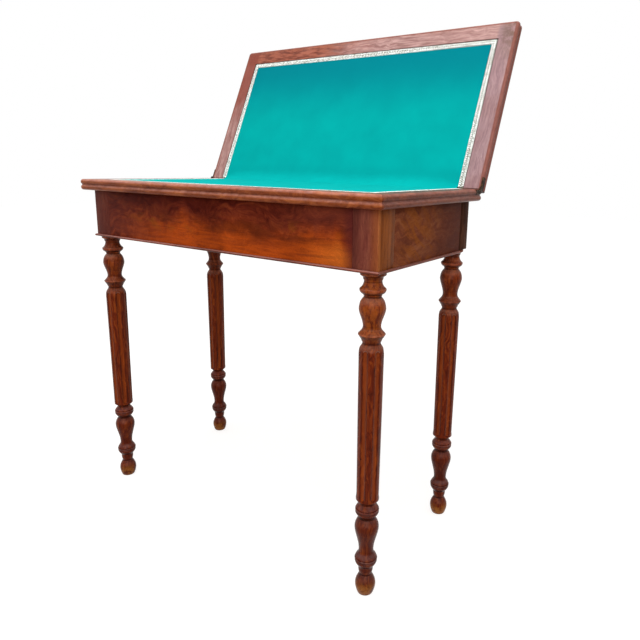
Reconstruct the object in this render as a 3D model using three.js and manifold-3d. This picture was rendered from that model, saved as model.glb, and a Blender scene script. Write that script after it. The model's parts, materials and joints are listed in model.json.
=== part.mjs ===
// Folding games table: a baize-lined double top on a frieze with four turned legs.
// The lid is hinged to the lower leaf at the back, and the two back legs stand on a
// frame that slides out behind to carry the opened lid.
// Millimetres, +Z up, +Y to the back. The origin is on the floor, under the middle of
// the box that holds the table as it stands with its lid leaning back.

import * as THREE from 'three';
import { mergeVertices } from 'three/addons/utils/BufferGeometryUtils.js';
import Module from 'manifold-3d';

const wasm = await Module();
wasm.setup();

// Shared gaps
const seam = 0.3; // glue line between two fixed pieces
const running = 0.5; // gap beside a piece that slides or turns
const overrun = 4; // how far a cutter passes the piece that it cuts

// The two leaves of the top
const leaf = {
  sideOverhang: 19, // past the frieze, left and right
  frontOverhang: 22.5, // past the frieze, in front
  depth: 390,
  thickness: 24,
  height: 735, // playing face of the lower leaf above the floor
  border: 41, // width of the solid wood frame round the cloth
  reedGroove: 3, // depth of the groove between the two reeds of the edge
  recess: 2, // step from the frame down to the board under the cloth
  tongue: 6, // length of the board's tongue in the frame's groove
  tongueThickness: 7,
  veneer: 1, // show veneer on the outside of the lid
};
const lidLean = 24; // degrees that the open lid leans back from upright

// Cloth and braid
const cloth = { baize: 1.2, braid: 1.4, braidWidth: 12 };

// Frieze box
const frieze = {
  width: 762,
  sideLength: 313.5, // front face to the back end of a side board
  height: 104.5,
  board: 20,
  tenon: 16,
  tenonThickness: 8,
  tenonShoulder: 12,
};
const post = { width: 50, legInset: 21.5, boreDepth: 46 };
const baseBead = { height: 5, reach: 4 };

// Inner back rail and the slides of the back frame
const backRail = { thickness: 22, setback: 21.5 }; // setback from the side boards' back ends
const arm = { width: 22, height: 36, rise: 28, sideGap: 2 }; // rise above the frieze's bottom edge
const armFrontGap = 14; // front end of an arm to the post, as the table stands
const frontBar = 20; // thickness of the bar that joins the arms' front ends
const guide = { width: 24, height: 12 };
const bearer = { width: 60, height: 20 };
const glueBlock = { leg: 18, length: 50 };
const glueBlockSpreadShare = 0.45; // of half the frieze's width

// Back frame, pulled out a little as the table stands
const backFrame = {
  pulledOut: 8, // gap between the side boards and the back blocks
  block: 46,
  blockShow: 31, // the part of a block that stays behind the side boards
  rise: 5, // underside above the frieze's bottom edge
  topGap: 0.5, // below the underside of the opened lid
  rail: 22,
  tenon: 12,
  legInset: { x: 21.5, y: 21.5 },
};

// Turned legs: radii and heights above the floor
const leg = {
  foot: 12.3,
  ball: { r: 19.1, z: 20.3 },
  ankle: { r: 11.6, z: 40 },
  cup: { r: 13.8, z: 53.4 },
  lowRing: { r: 21, z: 70.4 },
  lowWaist: { r: 13.6, z: 91.2 },
  lowVase: { r: 22.1, z: 135.2 },
  lowNeck: { r: 14.9, z: 155.6 },
  midRing: { r: 21.9, z: 170.7 },
  shaftNeck: { r: 14.8, z: 185 },
  shaftFoot: { r: 21, z: 192.5 },
  shaftHead: { r: 22.4, z: 459.3 },
  shoulder: { r: 16, z: 483.7 },
  highRing: { r: 23.6, z: 500.3 },
  highWaist: { r: 15.7, z: 512.2 },
  highVase: { r: 23.2, z: 545 },
  highNeck: { r: 15.6, z: 564.4 },
  topRing: { r: 22.9, z: 578 },
  topNeck: { r: 15.8, z: 590 },
  collar: { r: 22.2, z: 601.1 },
  tenon: { r: 8, length: 45 },
};
const flute = { count: 6, depth: 2.8, footMargin: 2, headRun: 19 }; // headRun cuts into the shoulder
const fluteWidthShare = 0.52; // of the distance from one flute to the next
const swellBendShare = 0.36; // of a swell's height, how long its curve runs upright at either end
const legTurn = { frontLeft: 7.5, frontRight: 3.5, backLeft: 1, backRight: -5 }; // degrees

// Brass hinges let into the side edges of the leaves
const hinge = {
  gap: 0.5, // between the leaves, shut or laid flat
  plate: 4,
  length: 26,
  height: 9,
  drop: 1, // top edge of a plate below the playing face
  knuckle: 4.2,
  pin: 1,
  screwPitch: 10,
};
const screw = { head: 2.2, headDepth: 1.4, shank: 1.1, length: 12 };

// How finely round shapes are faceted
const turningSides = 24;
const boreSides = 16;
const curveSteps = 2;
const swellSteps = 5;
const reedSteps = 5;
const fluteSides = 16;
const fluteEndSteps = 3;
const smallSides = 12;

// Sizes that follow from the ones above
const reed = leaf.thickness / 4;
const leafWidth = frieze.width + 2 * leaf.sideOverhang;
const half = leafWidth / 2;
const friezeBottom = leaf.height - leaf.thickness - frieze.height;
const friezeTop = leaf.height - leaf.thickness - seam;
const outer = frieze.width / 2;
const inner = outer - frieze.board;
const postInner = outer - post.width;
const leafFront = -leaf.frontOverhang; // y is measured from the front board's face
const leafBack = leafFront + leaf.depth;
const backRailFront = frieze.sideLength - backRail.setback - backRail.thickness;
const armInner = inner - arm.sideGap - arm.width;
const armOuter = inner - arm.sideGap;
const armBottom = friezeBottom + arm.rise;
const frameBack = frieze.sideLength + backFrame.pulledOut + backFrame.blockShow;
const blockFront = frameBack - backFrame.block;
const frameBottom = friezeBottom + backFrame.rise;
const backLeg = [outer - backFrame.legInset.x, frameBack - backFrame.legInset.y];
const frameTop = leaf.height - leaf.thickness - backFrame.topGap;
const boardEdge = half - leaf.border - seam;
const boardDepth = leaf.depth - leaf.border - seam;
const fromFlat = THREE.MathUtils.degToRad(90 - lidLean);

// Finishes
const finish = (color, roughness, metalness = 0) =>
  new THREE.MeshStandardMaterial({ color, roughness, metalness });
const mahogany = finish(0x6e2a18, 0.4);
const figured = finish(0x7c3416, 0.35);
const beadWood = finish(0x8a4526, 0.4);
const turnedWood = finish(0x702c14, 0.35);
const borderWood = finish(0x8c5a50, 0.5);
const innerWood = finish(0x8a6a48, 0.7);
const baizeCloth = finish(0x0b9a90, 0.95);
const braidCloth = finish(0xd8dcc8, 0.9);
const brass = finish(0xa08048, 0.35, 0.9);

// Solids: joining, cutting and mirroring

function solidOf(geometry) {
  const bare = geometry.clone();
  bare.deleteAttribute('normal');
  bare.deleteAttribute('uv');
  const merged = mergeVertices(bare);
  return new wasm.Manifold(
    new wasm.Mesh({
      numProp: 3,
      vertProperties: new Float32Array(merged.attributes.position.array),
      triVerts: new Uint32Array(merged.index.array),
    })
  );
}

function geometryOf(solid) {
  const mesh = solid.getMesh();
  const geometry = new THREE.BufferGeometry();
  geometry.setAttribute('position', new THREE.BufferAttribute(mesh.vertProperties, 3));
  geometry.setIndex(new THREE.BufferAttribute(mesh.triVerts, 1));
  return geometry;
}

function join(body, ...additions) {
  return geometryOf(additions.reduce((solid, next) => solid.add(solidOf(next)), solidOf(body)));
}

function cut(body, ...cutters) {
  return geometryOf(cutters.reduce((solid, next) => solid.subtract(solidOf(next)), solidOf(body)));
}

function mirrored(geometry) {
  const copy = geometry.index ? geometry.toNonIndexed() : geometry.clone();
  copy.deleteAttribute('normal');
  copy.deleteAttribute('uv');
  const place = copy.attributes.position;
  for (let i = 0; i < place.count; i += 3) {
    const points = [0, 2, 1].map((k) => new THREE.Vector3().fromBufferAttribute(place, i + k));
    points.forEach((p, k) => place.setXYZ(i + k, -p.x, p.y, p.z));
  }
  return copy;
}

// A box from its lowest to its highest corner
function block([x0, x1], [y0, y1], [z0, z1]) {
  const geometry = new THREE.BoxGeometry(x1 - x0, y1 - y0, z1 - z0);
  return geometry.translate((x0 + x1) / 2, (y0 + y1) / 2, (z0 + z1) / 2);
}

// A round bar along Z from z0 to z1
function rod(radius, [x, y], [z0, z1], sides = boreSides) {
  const geometry = new THREE.CylinderGeometry(radius, radius, z1 - z0, sides);
  return geometry.rotateX(Math.PI / 2).translate(x, y, (z0 + z1) / 2);
}

// A round bar along X from x0 to x1
function crossRod(radius, [x0, x1], [y, z], sides = smallSides) {
  const geometry = new THREE.CylinderGeometry(radius, radius, x1 - x0, sides);
  return geometry.rotateZ(Math.PI / 2).translate((x0 + x1) / 2, y, z);
}

// A straight moulding along X whose outline lies in (across, height); its ends are cut
// at 45 degrees where startMitre or endMitre is 1, and square where they are 0
function moulding(outline, length, startMitre, endMitre, steps) {
  const options = { depth: length, bevelEnabled: false, curveSegments: steps };
  const geometry = new THREE.ExtrudeGeometry(outline, options);
  const place = geometry.attributes.position;
  for (let i = 0; i < place.count; i += 1) {
    const across = place.getX(i);
    const height = place.getY(i);
    const atStart = place.getZ(i) === 0;
    const along = atStart ? startMitre * across : length - endMitre * across;
    place.setXYZ(i, along, across, height);
  }
  return geometry;
}

function mesh(name, geometry, material) {
  const piece = new THREE.Mesh(geometry, material);
  piece.name = name;
  return piece;
}

// Legs

function legOutline(seat) {
  const line = new THREE.Path();
  const to = (p) => line.lineTo(p.r, p.z);
  const swell = (low, high) => {
    const bend = (high.z - low.z) * swellBendShare;
    line.bezierCurveTo(low.r, low.z + bend, high.r, high.z - bend, high.r, high.z);
  };
  const roundOff = (from, end) => line.quadraticCurveTo(from.r, (from.z + 2 * end.z) / 3, end.r, end.z);
  const roundOut = (from, end) => line.quadraticCurveTo(end.r, (end.z + 2 * from.z) / 3, end.r, end.z);
  line.moveTo(0, 0);
  line.lineTo(leg.foot, 0);
  roundOut({ r: leg.foot, z: 0 }, leg.ball);
  roundOff(leg.ball, leg.ankle);
  to(leg.cup);
  roundOut(leg.cup, leg.lowRing);
  roundOff(leg.lowRing, leg.lowWaist);
  swell(leg.lowWaist, leg.lowVase);
  roundOff(leg.lowVase, leg.lowNeck);
  roundOut(leg.lowNeck, leg.midRing);
  roundOff(leg.midRing, leg.shaftNeck);
  to(leg.shaftFoot);
  to(leg.shaftHead);
  roundOff(leg.shaftHead, leg.shoulder);
  to(leg.highRing);
  to(leg.highWaist);
  swell(leg.highWaist, leg.highVase);
  roundOff(leg.highVase, leg.highNeck);
  to(leg.topRing);
  to(leg.topNeck);
  line.quadraticCurveTo(leg.topNeck.r, leg.collar.z, leg.collar.r, leg.collar.z);
  line.lineTo(leg.collar.r, seat - seam);
  line.lineTo(leg.tenon.r, seat - seam);
  line.lineTo(leg.tenon.r, seat + leg.tenon.length);
  line.lineTo(0, seat + leg.tenon.length);
  return line;
}

// Points of an outline, with more steps on the long swells than on the short curves
function outlinePoints(path) {
  const points = [];
  for (const curve of path.curves) {
    const steps = curve.isLineCurve ? 1 : curve.isCubicBezierCurve ? swellSteps : curveSteps;
    const stretch = curve.getPoints(steps);
    points.push(...(points.length ? stretch.slice(1) : stretch));
  }
  return points;
}

// A round-ended cutter that lies along the taper of the shaft, one for each flute
function fluteCutters() {
  const { r: r0, z: z0 } = leg.shaftFoot;
  const { r: r1, z: z1 } = leg.shaftHead;
  const width = (fluteWidthShare * 2 * Math.PI * (r0 + r1)) / 2 / flute.count;
  const radius = (width * width + 4 * flute.depth * flute.depth) / (8 * flute.depth);
  const low = z0 + flute.footMargin + width / 2;
  const high = z1 + flute.headRun - width / 2;
  const taper = (r1 - r0) / (z1 - z0);
  const middle = (low + high) / 2;
  const reach = r0 + taper * (middle - z0) + radius - flute.depth;
  return Array.from({ length: flute.count }, (_, i) => {
    const capsule = new THREE.CapsuleGeometry(radius, high - low, fluteEndSteps, fluteSides);
    capsule.rotateX(Math.PI / 2).rotateY(Math.atan(taper)).translate(reach, 0, middle);
    return capsule.rotateZ((2 * Math.PI * (i + 0.5)) / flute.count);
  });
}

function turnedLeg(name, [x, y], seat, turn) {
  const turned = new THREE.LatheGeometry(outlinePoints(legOutline(seat)), turningSides);
  turned.rotateX(Math.PI / 2);
  const piece = mesh(name, cut(turned, ...fluteCutters()), turnedWood);
  piece.position.set(x, y, 0);
  piece.rotation.z = THREE.MathUtils.degToRad(turn);
  return piece;
}

// One leaf of the top, in its own frame: the hinge edge at y = 0, the outer edge at
// y = -depth, the playing face at z = 0

function borderOutline(veneer) {
  const groove = Math.acos(1 - leaf.reedGroove / reed);
  const tongueMid = -leaf.recess - (leaf.thickness - leaf.recess) / 2;
  const slot = leaf.tongueThickness / 2 + seam;
  const low = -leaf.thickness;
  const line = new THREE.Shape();
  line.moveTo(leaf.border, 0);
  line.lineTo(reed, 0);
  line.absarc(reed, -reed, reed, Math.PI / 2, Math.PI + groove, false);
  line.absarc(reed, -3 * reed, reed, Math.PI - groove, Math.PI * 1.5, false);
  const rebate = veneer ? veneer + seam : 0;
  if (rebate) line.lineTo(reed, low + rebate);
  line.lineTo(leaf.border, low + rebate);
  line.lineTo(leaf.border, tongueMid - slot);
  line.lineTo(leaf.border - leaf.tongue, tongueMid - slot);
  line.lineTo(leaf.border - leaf.tongue, tongueMid + slot);
  line.lineTo(leaf.border, tongueMid + slot);
  return line;
}

// The hinge's place on a leaf: the pivot, and the plate's two screws
const pivot = [hinge.gap / 2, hinge.gap / 2];
const plateLow = -hinge.drop - hinge.height;
const screwPlaces = [0, 1].map((i) => [
  -hinge.length + (hinge.length - hinge.knuckle - hinge.screwPitch) / 2 + i * hinge.screwPitch,
  -hinge.drop - hinge.height / 2,
]);

// Everything that is taken out of a leaf's right-hand edge for its hinge
function hingePocket() {
  const face = [half - hinge.plate - seam, half + overrun];
  return [
    block(face, [-hinge.length - seam, overrun], [plateLow - seam, overrun]),
    crossRod(hinge.knuckle + running, face, pivot),
    ...screwPlaces.map((place) => crossRod(screw.shank + seam, [half - screw.length - seam, half], place)),
  ];
}

// A right-hand hinge plate; its knuckle is the outer or the inner half of its thickness
function hingePlate(outerHalf) {
  const low = half - hinge.plate;
  const middle = low + hinge.plate / 2;
  const own = outerHalf ? [middle + seam / 2, half] : [low, middle - seam / 2];
  const other = outerHalf ? [low - overrun, middle + seam / 2] : [middle - seam / 2, half + overrun];
  const flat = block([low, half], [-hinge.length, 0], [plateLow, -hinge.drop]);
  const freed = cut(flat, crossRod(hinge.knuckle + running, other, pivot));
  const sinks = screwPlaces.map((place) => {
    const sink = countersunk(screw.head + seam, screw.shank + seam, screw.headDepth + seam);
    return sink.translate(half, ...place);
  });
  const shape = join(freed, crossRod(hinge.knuckle, own, pivot));
  return cut(shape, crossRod(hinge.pin + seam, [low - overrun, half + overrun], pivot), ...sinks);
}

// A countersunk bar with its flat head at x = 0 and its point at x = -length
function countersunk(head, shank, headDepth, length = screw.length + overrun) {
  const profile = [
    [0, -length],
    [shank, -length],
    [shank, -headDepth],
    [head, 0],
    [0, 0],
  ].map(([r, h]) => new THREE.Vector2(r, h));
  return new THREE.LatheGeometry(profile, smallSides).rotateZ(-Math.PI / 2);
}

function leafFrame(prefix, leftName, rightName, frontName, veneer) {
  const outline = borderOutline(veneer);
  const front = moulding(outline, leafWidth, 1, 1, reedSteps).translate(-half, -leaf.depth, 0);
  const sideBlank = moulding(outline, leaf.depth, 1, 0, reedSteps);
  const right = cut(sideBlank.rotateZ(Math.PI / 2).translate(half, -leaf.depth, 0), ...hingePocket());
  const gap = seam / 2;
  const trimmed = (side) => cut(side, cornerTrim(gap));
  return [
    mesh(prefix + frontName, cut(front, cornerTrim(gap), mirrored(cornerTrim(gap))), borderWood),
    mesh(prefix + rightName, trimmed(right), borderWood),
    mesh(prefix + leftName, mirrored(trimmed(right)), borderWood),
  ];
}

// The thin wedge that keeps the mitred corner of the frame one glue line open
function cornerTrim(gap) {
  const reach = leaf.border * Math.SQRT2 + overrun;
  const blade = block([-overrun, reach], [-gap, gap], [-leaf.thickness - overrun, overrun]);
  return blade.rotateZ(Math.PI * 0.75).translate(half, -leaf.depth, 0);
}

function leafBoard(veneer) {
  const low = -leaf.thickness + (veneer ? veneer + seam : 0);
  const tongueMid = -leaf.recess - (leaf.thickness - leaf.recess) / 2;
  const reach = leaf.tongue - seam;
  const tongueHeights = [tongueMid - leaf.tongueThickness / 2, tongueMid + leaf.tongueThickness / 2];
  return join(
    block([-boardEdge, boardEdge], [-boardDepth, 0], [low, -leaf.recess]),
    block([-boardEdge - reach, boardEdge + reach], [-boardDepth - reach, 0], tongueHeights)
  );
}

// The braid runs round three sides of the cloth, with its two ends at the hinge edge
function braidLoop() {
  const x1 = boardEdge - seam;
  const y1 = -boardDepth + seam;
  const x0 = x1 - cloth.braidWidth;
  const y0 = y1 + cloth.braidWidth;
  const line = new THREE.Shape();
  line.moveTo(-x1, 0);
  [[-x1, y1], [x1, y1], [x1, 0], [x0, 0], [x0, y0], [-x0, y0], [-x0, 0]].forEach(([x, y]) =>
    line.lineTo(x, y)
  );
  const options = { depth: cloth.braid, bevelEnabled: false };
  return new THREE.ExtrudeGeometry(line, options).translate(0, 0, seam - leaf.recess);
}

function baizeSheet() {
  const inset = seam + cloth.braidWidth + seam;
  const x = boardEdge - inset;
  const low = seam - leaf.recess;
  return block([-x, x], [-boardDepth + inset, 0], [low, low + cloth.baize]);
}

function hingeSet(prefix, leftName, rightName, outerHalf) {
  const plate = hingePlate(outerHalf);
  const pieces = [
    mesh(`${prefix}hinge_plate_${rightName}`, plate, brass),
    mesh(`${prefix}hinge_plate_${leftName}`, mirrored(plate), brass),
  ];
  screwPlaces.forEach((place, i) => {
    const body = countersunk(screw.head, screw.shank, screw.headDepth, screw.length);
    body.translate(half, ...place);
    pieces.push(mesh(`${prefix}hinge_screw_${rightName}_${i + 1}`, body, brass));
    pieces.push(mesh(`${prefix}hinge_screw_${leftName}_${i + 1}`, mirrored(body), brass));
  });
  return pieces;
}

function lowerLeaf() {
  const group = new THREE.Group();
  group.add(
    mesh('lower_leaf_board', leafBoard(0), innerWood),
    ...leafFrame('lower_leaf_', 'left_border', 'right_border', 'front_border', 0),
    mesh('lower_baize', baizeSheet(), baizeCloth),
    mesh('lower_braid', braidLoop(), braidCloth),
    ...hingeSet('lower_', 'left', 'right', true)
  );
  group.position.set(0, leafBack, leaf.height);
  return group;
}

// The lid is the same leaf turned end for end about the hinge, with a show veneer and
// the hinge pins; laid flat it carries on the playing face of the lower leaf
function lidLeaf() {
  const turned = new THREE.Group();
  const veneerEdge = half - reed - seam;
  const veneerDepth = leaf.depth - reed - seam;
  const pinSpan = [half - hinge.plate, half];
  const pin = crossRod(hinge.pin, pinSpan, pivot);
  turned.add(
    mesh('lid_board', leafBoard(leaf.veneer), innerWood),
    mesh(
      'lid_veneer',
      block([-veneerEdge, veneerEdge], [-veneerDepth, 0], [-leaf.thickness, leaf.veneer - leaf.thickness]),
      figured
    ),
    ...leafFrame('lid_', 'right_border', 'left_border', 'top_border', leaf.veneer),
    mesh('lid_baize', baizeSheet(), baizeCloth),
    mesh('lid_braid', braidLoop(), braidCloth),
    mesh('hinge_pin_left', pin, brass),
    mesh('hinge_pin_right', mirrored(pin), brass),
    ...hingeSet('lid_', 'right', 'left', false)
  );
  turned.rotation.z = Math.PI;
  turned.position.set(0, pivot[0], -pivot[1]);
  const swung = new THREE.Group();
  swung.add(turned);
  swung.position.set(0, leafBack + pivot[0], leaf.height + pivot[1]);
  swung.rotation.x = fromFlat;
  return swung;
}

// Frieze box

const boardHeights = [friezeBottom, friezeTop];
const tenonHeights = [friezeBottom + frieze.tenonShoulder, friezeTop - frieze.tenonShoulder];
const tenonDepths = [
  (frieze.board - frieze.tenonThickness) / 2,
  (frieze.board + frieze.tenonThickness) / 2,
];

function frontFrieze() {
  const edge = postInner - seam;
  const reach = edge + frieze.tenon;
  return join(
    block([-edge, edge], [0, frieze.board], boardHeights),
    block([-reach, reach], tenonDepths, tenonHeights)
  );
}

// A side board is hollowed under its back end, where the back leg's collar slides in
function rightFrieze() {
  const start = post.width + seam;
  const tenonAcross = tenonDepths.map((depth) => outer - depth).reverse();
  const board = join(
    block([inner, outer], [start, frieze.sideLength], boardHeights),
    block(tenonAcross, [start - frieze.tenon, start + frieze.tenon], tenonHeights)
  );
  const radius = leg.collar.r + running;
  const shutY = backLeg[1] - backFrame.pulledOut;
  const heights = [friezeBottom - overrun, frameBottom + running];
  return cut(board, rod(radius, [backLeg[0], shutY], heights));
}

function grown([low, high], gap) {
  return [low - gap, high + gap];
}

function rightPost() {
  const legAxis = [outer - post.legInset, post.legInset];
  const bore = rod(leg.tenon.r + seam, legAxis, [friezeBottom - overrun, friezeBottom + post.boreDepth]);
  const frontMortise = block(
    [postInner - overrun, postInner + frieze.tenon],
    grown(tenonDepths, seam),
    grown(tenonHeights, seam)
  );
  const sideMortise = block(
    grown(tenonDepths.map((depth) => outer - depth).reverse(), seam),
    [post.width - frieze.tenon, post.width + overrun],
    grown(tenonHeights, seam)
  );
  const blank = block([postInner, outer], [0, post.width], boardHeights);
  return cut(blank, bore, frontMortise, sideMortise);
}

// A small round-nosed bead planted along the bottom of the frieze
function baseBeadOutline() {
  const nose = baseBead.height / 2;
  const line = new THREE.Shape();
  line.moveTo(baseBead.reach, 0);
  line.lineTo(nose, 0);
  line.absarc(nose, nose, nose, Math.PI * 1.5, Math.PI / 2, true);
  line.lineTo(baseBead.reach, baseBead.height);
  return line;
}

function baseBeads() {
  const out = outer + seam + baseBead.reach;
  const front = -seam - baseBead.reach;
  const gap = seam / 2;
  const trimReach = (baseBead.reach + overrun) * Math.SQRT2;
  const trim = block([-overrun, trimReach], [-gap, gap], [-overrun, baseBead.height + overrun]);
  trim.rotateZ(Math.PI * 0.75).translate(out, front, 0);
  const across = moulding(baseBeadOutline(), 2 * out, 1, 1, reedSteps).translate(-out, front, 0);
  const along = moulding(baseBeadOutline(), frieze.sideLength - front, 1, 0, reedSteps);
  const right = cut(along.rotateZ(Math.PI / 2).translate(out, front, 0), trim);
  const pieces = [
    mesh('base_bead_front', cut(across, trim, mirrored(trim)), beadWood),
    mesh('base_bead_right', right, beadWood),
    mesh('base_bead_left', mirrored(right), beadWood),
  ];
  pieces.forEach((piece) => piece.position.setZ(friezeBottom));
  return pieces;
}

// The fixed rail near the back, notched at both ends where the arms pass
function innerBackRail() {
  const edge = inner - seam;
  const depths = [backRailFront, backRailFront + backRail.thickness];
  const notch = (sign) => {
    const span = [armInner - running, edge + overrun].map((x) => x * sign).sort((a, b) => a - b);
    return block(span, grown(depths, overrun), grown([armBottom, armBottom + arm.height], running));
  };
  return cut(block([-edge, edge], depths, boardHeights), notch(1), notch(-1));
}

// Strips on the side boards, above and below each arm
function rightGuide(above) {
  const low = above ? armBottom + arm.height + running : armBottom - running - guide.height;
  const edge = inner - seam;
  return block(
    [edge - guide.width, edge],
    [post.width + seam, backRailFront - seam],
    [low, low + guide.height]
  );
}

// A three-cornered block glued under the leaf, its legs along +Y and -Z
function cornerBlock() {
  const line = new THREE.Shape();
  line.moveTo(0, 0);
  line.lineTo(0, -glueBlock.leg);
  line.lineTo(glueBlock.leg, 0);
  return moulding(line, glueBlock.length, 0, 0, 1).translate(-glueBlock.length / 2, 0, 0);
}

function cornerBlocks() {
  const spread = outer * glueBlockSpreadShare;
  const middle = (post.width + backRailFront) / 2;
  const places = [
    ['glue_block_front_left', -spread, frieze.board + seam, 0],
    ['glue_block_front_right', spread, frieze.board + seam, 0],
    ['glue_block_back_left', -spread, backRailFront - seam, Math.PI],
    ['glue_block_back_right', spread, backRailFront - seam, Math.PI],
    ['glue_block_left', -inner + seam, middle, -Math.PI / 2],
    ['glue_block_right', inner - seam, middle, Math.PI / 2],
  ];
  return places.map(([name, x, y, turn]) => {
    const piece = mesh(name, cornerBlock(), innerWood);
    piece.position.set(x, y, friezeTop);
    piece.rotation.z = turn;
    return piece;
  });
}

function topBearer() {
  return block(
    [-bearer.width / 2, bearer.width / 2],
    [frieze.board + seam, backRailFront - seam],
    [friezeTop - bearer.height, friezeTop]
  );
}

function carcass() {
  const group = new THREE.Group();
  const legX = outer - post.legInset;
  group.add(
    mesh('front_frieze', frontFrieze(), figured),
    mesh('right_frieze', rightFrieze(), figured),
    mesh('left_frieze', mirrored(rightFrieze()), figured),
    mesh('post_front_right', rightPost(), mahogany),
    mesh('post_front_left', mirrored(rightPost()), mahogany),
    turnedLeg('leg_front_right', [legX, post.legInset], friezeBottom, legTurn.frontRight),
    turnedLeg('leg_front_left', [-legX, post.legInset], friezeBottom, legTurn.frontLeft),
    ...baseBeads(),
    mesh('inner_back_rail', innerBackRail(), innerWood),
    mesh('slide_guide_upper_right', rightGuide(true), innerWood),
    mesh('slide_guide_upper_left', mirrored(rightGuide(true)), innerWood),
    mesh('slide_guide_lower_right', rightGuide(false), innerWood),
    mesh('slide_guide_lower_left', mirrored(rightGuide(false)), innerWood),
    mesh('top_bearer', topBearer(), innerWood),
    ...cornerBlocks()
  );
  return group;
}

// Sliding back frame

const railDepths = [frameBack - backFrame.rail, frameBack];
const frameTenonThickness = frieze.tenonThickness;
const railTenonDepths = [
  (railDepths[0] + railDepths[1] - frameTenonThickness) / 2,
  (railDepths[0] + railDepths[1] + frameTenonThickness) / 2,
];
const railTenonHeights = [frameBottom + frieze.tenonShoulder, frameTop - frieze.tenonShoulder];
const blockInner = outer - backFrame.block;
const armTenonSpan = [
  (armInner + armOuter - frameTenonThickness) / 2,
  (armInner + armOuter + frameTenonThickness) / 2,
];

function backRailBoard() {
  const edge = blockInner - seam;
  const reach = edge + backFrame.tenon;
  return join(
    block([-edge, edge], railDepths, [frameBottom, frameTop]),
    block([-reach, reach], railTenonDepths, railTenonHeights)
  );
}

// A back block: its outer front corner is rebated to lap inside the end of the side board
function rightBlock() {
  const lap = inner - running;
  const shoulder = frameBack - backFrame.blockShow;
  const line = new THREE.Shape();
  line.moveTo(blockInner, blockFront);
  [[lap, blockFront], [lap, shoulder], [outer, shoulder], [outer, frameBack], [blockInner, frameBack]].forEach(
    ([x, y]) => line.lineTo(x, y)
  );
  const options = { depth: frameTop - frameBottom, bevelEnabled: false };
  const blank = new THREE.ExtrudeGeometry(line, options).translate(0, 0, frameBottom);
  return cut(
    blank,
    rod(leg.tenon.r + seam, backLeg, [frameBottom - overrun, frameBottom + post.boreDepth]),
    block(
      [blockInner - overrun, blockInner + backFrame.tenon],
      grown(railTenonDepths, seam),
      grown(railTenonHeights, seam)
    ),
    block(
      grown(armTenonSpan, seam),
      [blockFront - overrun, blockFront + backFrame.tenon],
      grown([armBottom, armBottom + arm.height], seam)
    )
  );
}

function rightArm() {
  const end = blockFront - seam;
  const heights = [armBottom, armBottom + arm.height];
  return join(
    block([armInner, armOuter], [post.width + armFrontGap, end], heights),
    block(armTenonSpan, [end - backFrame.tenon, end + backFrame.tenon], heights)
  );
}

function slideFrontBar() {
  const edge = armInner - seam;
  const start = post.width + armFrontGap;
  return block([-edge, edge], [start, start + frontBar], [armBottom, armBottom + arm.height]);
}

function slidingFrame() {
  const group = new THREE.Group();
  group.add(
    mesh('back_frame_rail', backRailBoard(), mahogany),
    mesh('back_block_right', rightBlock(), mahogany),
    mesh('back_block_left', mirrored(rightBlock()), mahogany),
    turnedLeg('leg_back_right', backLeg, frameBottom, legTurn.backRight),
    turnedLeg('leg_back_left', [-backLeg[0], backLeg[1]], frameBottom, legTurn.backLeft),
    mesh('slide_arm_right', rightArm(), innerWood),
    mesh('slide_arm_left', mirrored(rightArm()), innerWood),
    mesh('slide_front_bar', slideFrontBar(), innerWood)
  );
  return group;
}

// Furthest point of the leaning lid behind its pivot: the outer reed of its back face
const lidReach =
  (leaf.depth - reed + pivot[0]) * Math.cos(fromFlat) +
  (leaf.thickness - reed + pivot[1]) * Math.sin(fromFlat) +
  reed;
const lidBack = leafBack + pivot[0] + lidReach;

const table = new THREE.Group();
table.add(carcass(), lowerLeaf(), lidLeaf(), slidingFrame());
table.position.setY(-(leafFront + lidBack) / 2);

export default table;
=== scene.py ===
import itertools
import json
import math

import bmesh
import bpy
import numpy as np
from mathutils import Matrix, Vector


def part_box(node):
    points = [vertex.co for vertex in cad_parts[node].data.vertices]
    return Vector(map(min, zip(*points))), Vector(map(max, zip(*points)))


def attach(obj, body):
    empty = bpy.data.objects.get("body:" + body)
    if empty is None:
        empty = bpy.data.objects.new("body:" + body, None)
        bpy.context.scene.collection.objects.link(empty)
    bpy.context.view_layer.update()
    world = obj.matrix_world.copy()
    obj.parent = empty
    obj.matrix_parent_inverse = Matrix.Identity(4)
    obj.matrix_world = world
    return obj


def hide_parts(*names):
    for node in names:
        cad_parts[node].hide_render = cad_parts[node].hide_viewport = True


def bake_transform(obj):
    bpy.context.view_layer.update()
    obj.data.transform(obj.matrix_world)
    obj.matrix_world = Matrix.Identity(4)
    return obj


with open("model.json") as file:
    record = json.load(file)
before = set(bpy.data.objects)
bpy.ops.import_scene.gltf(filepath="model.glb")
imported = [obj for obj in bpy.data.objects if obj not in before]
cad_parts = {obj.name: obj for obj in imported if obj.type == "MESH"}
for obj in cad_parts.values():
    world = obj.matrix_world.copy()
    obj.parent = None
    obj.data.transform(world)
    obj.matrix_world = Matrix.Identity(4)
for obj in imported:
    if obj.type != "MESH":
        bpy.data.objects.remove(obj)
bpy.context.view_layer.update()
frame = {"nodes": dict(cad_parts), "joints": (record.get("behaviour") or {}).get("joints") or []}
nodes = frame["nodes"]
hinge = Vector(next(j["pos_m"] for j in frame["joints"] if j["name"] == "lid_hinge"))

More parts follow.
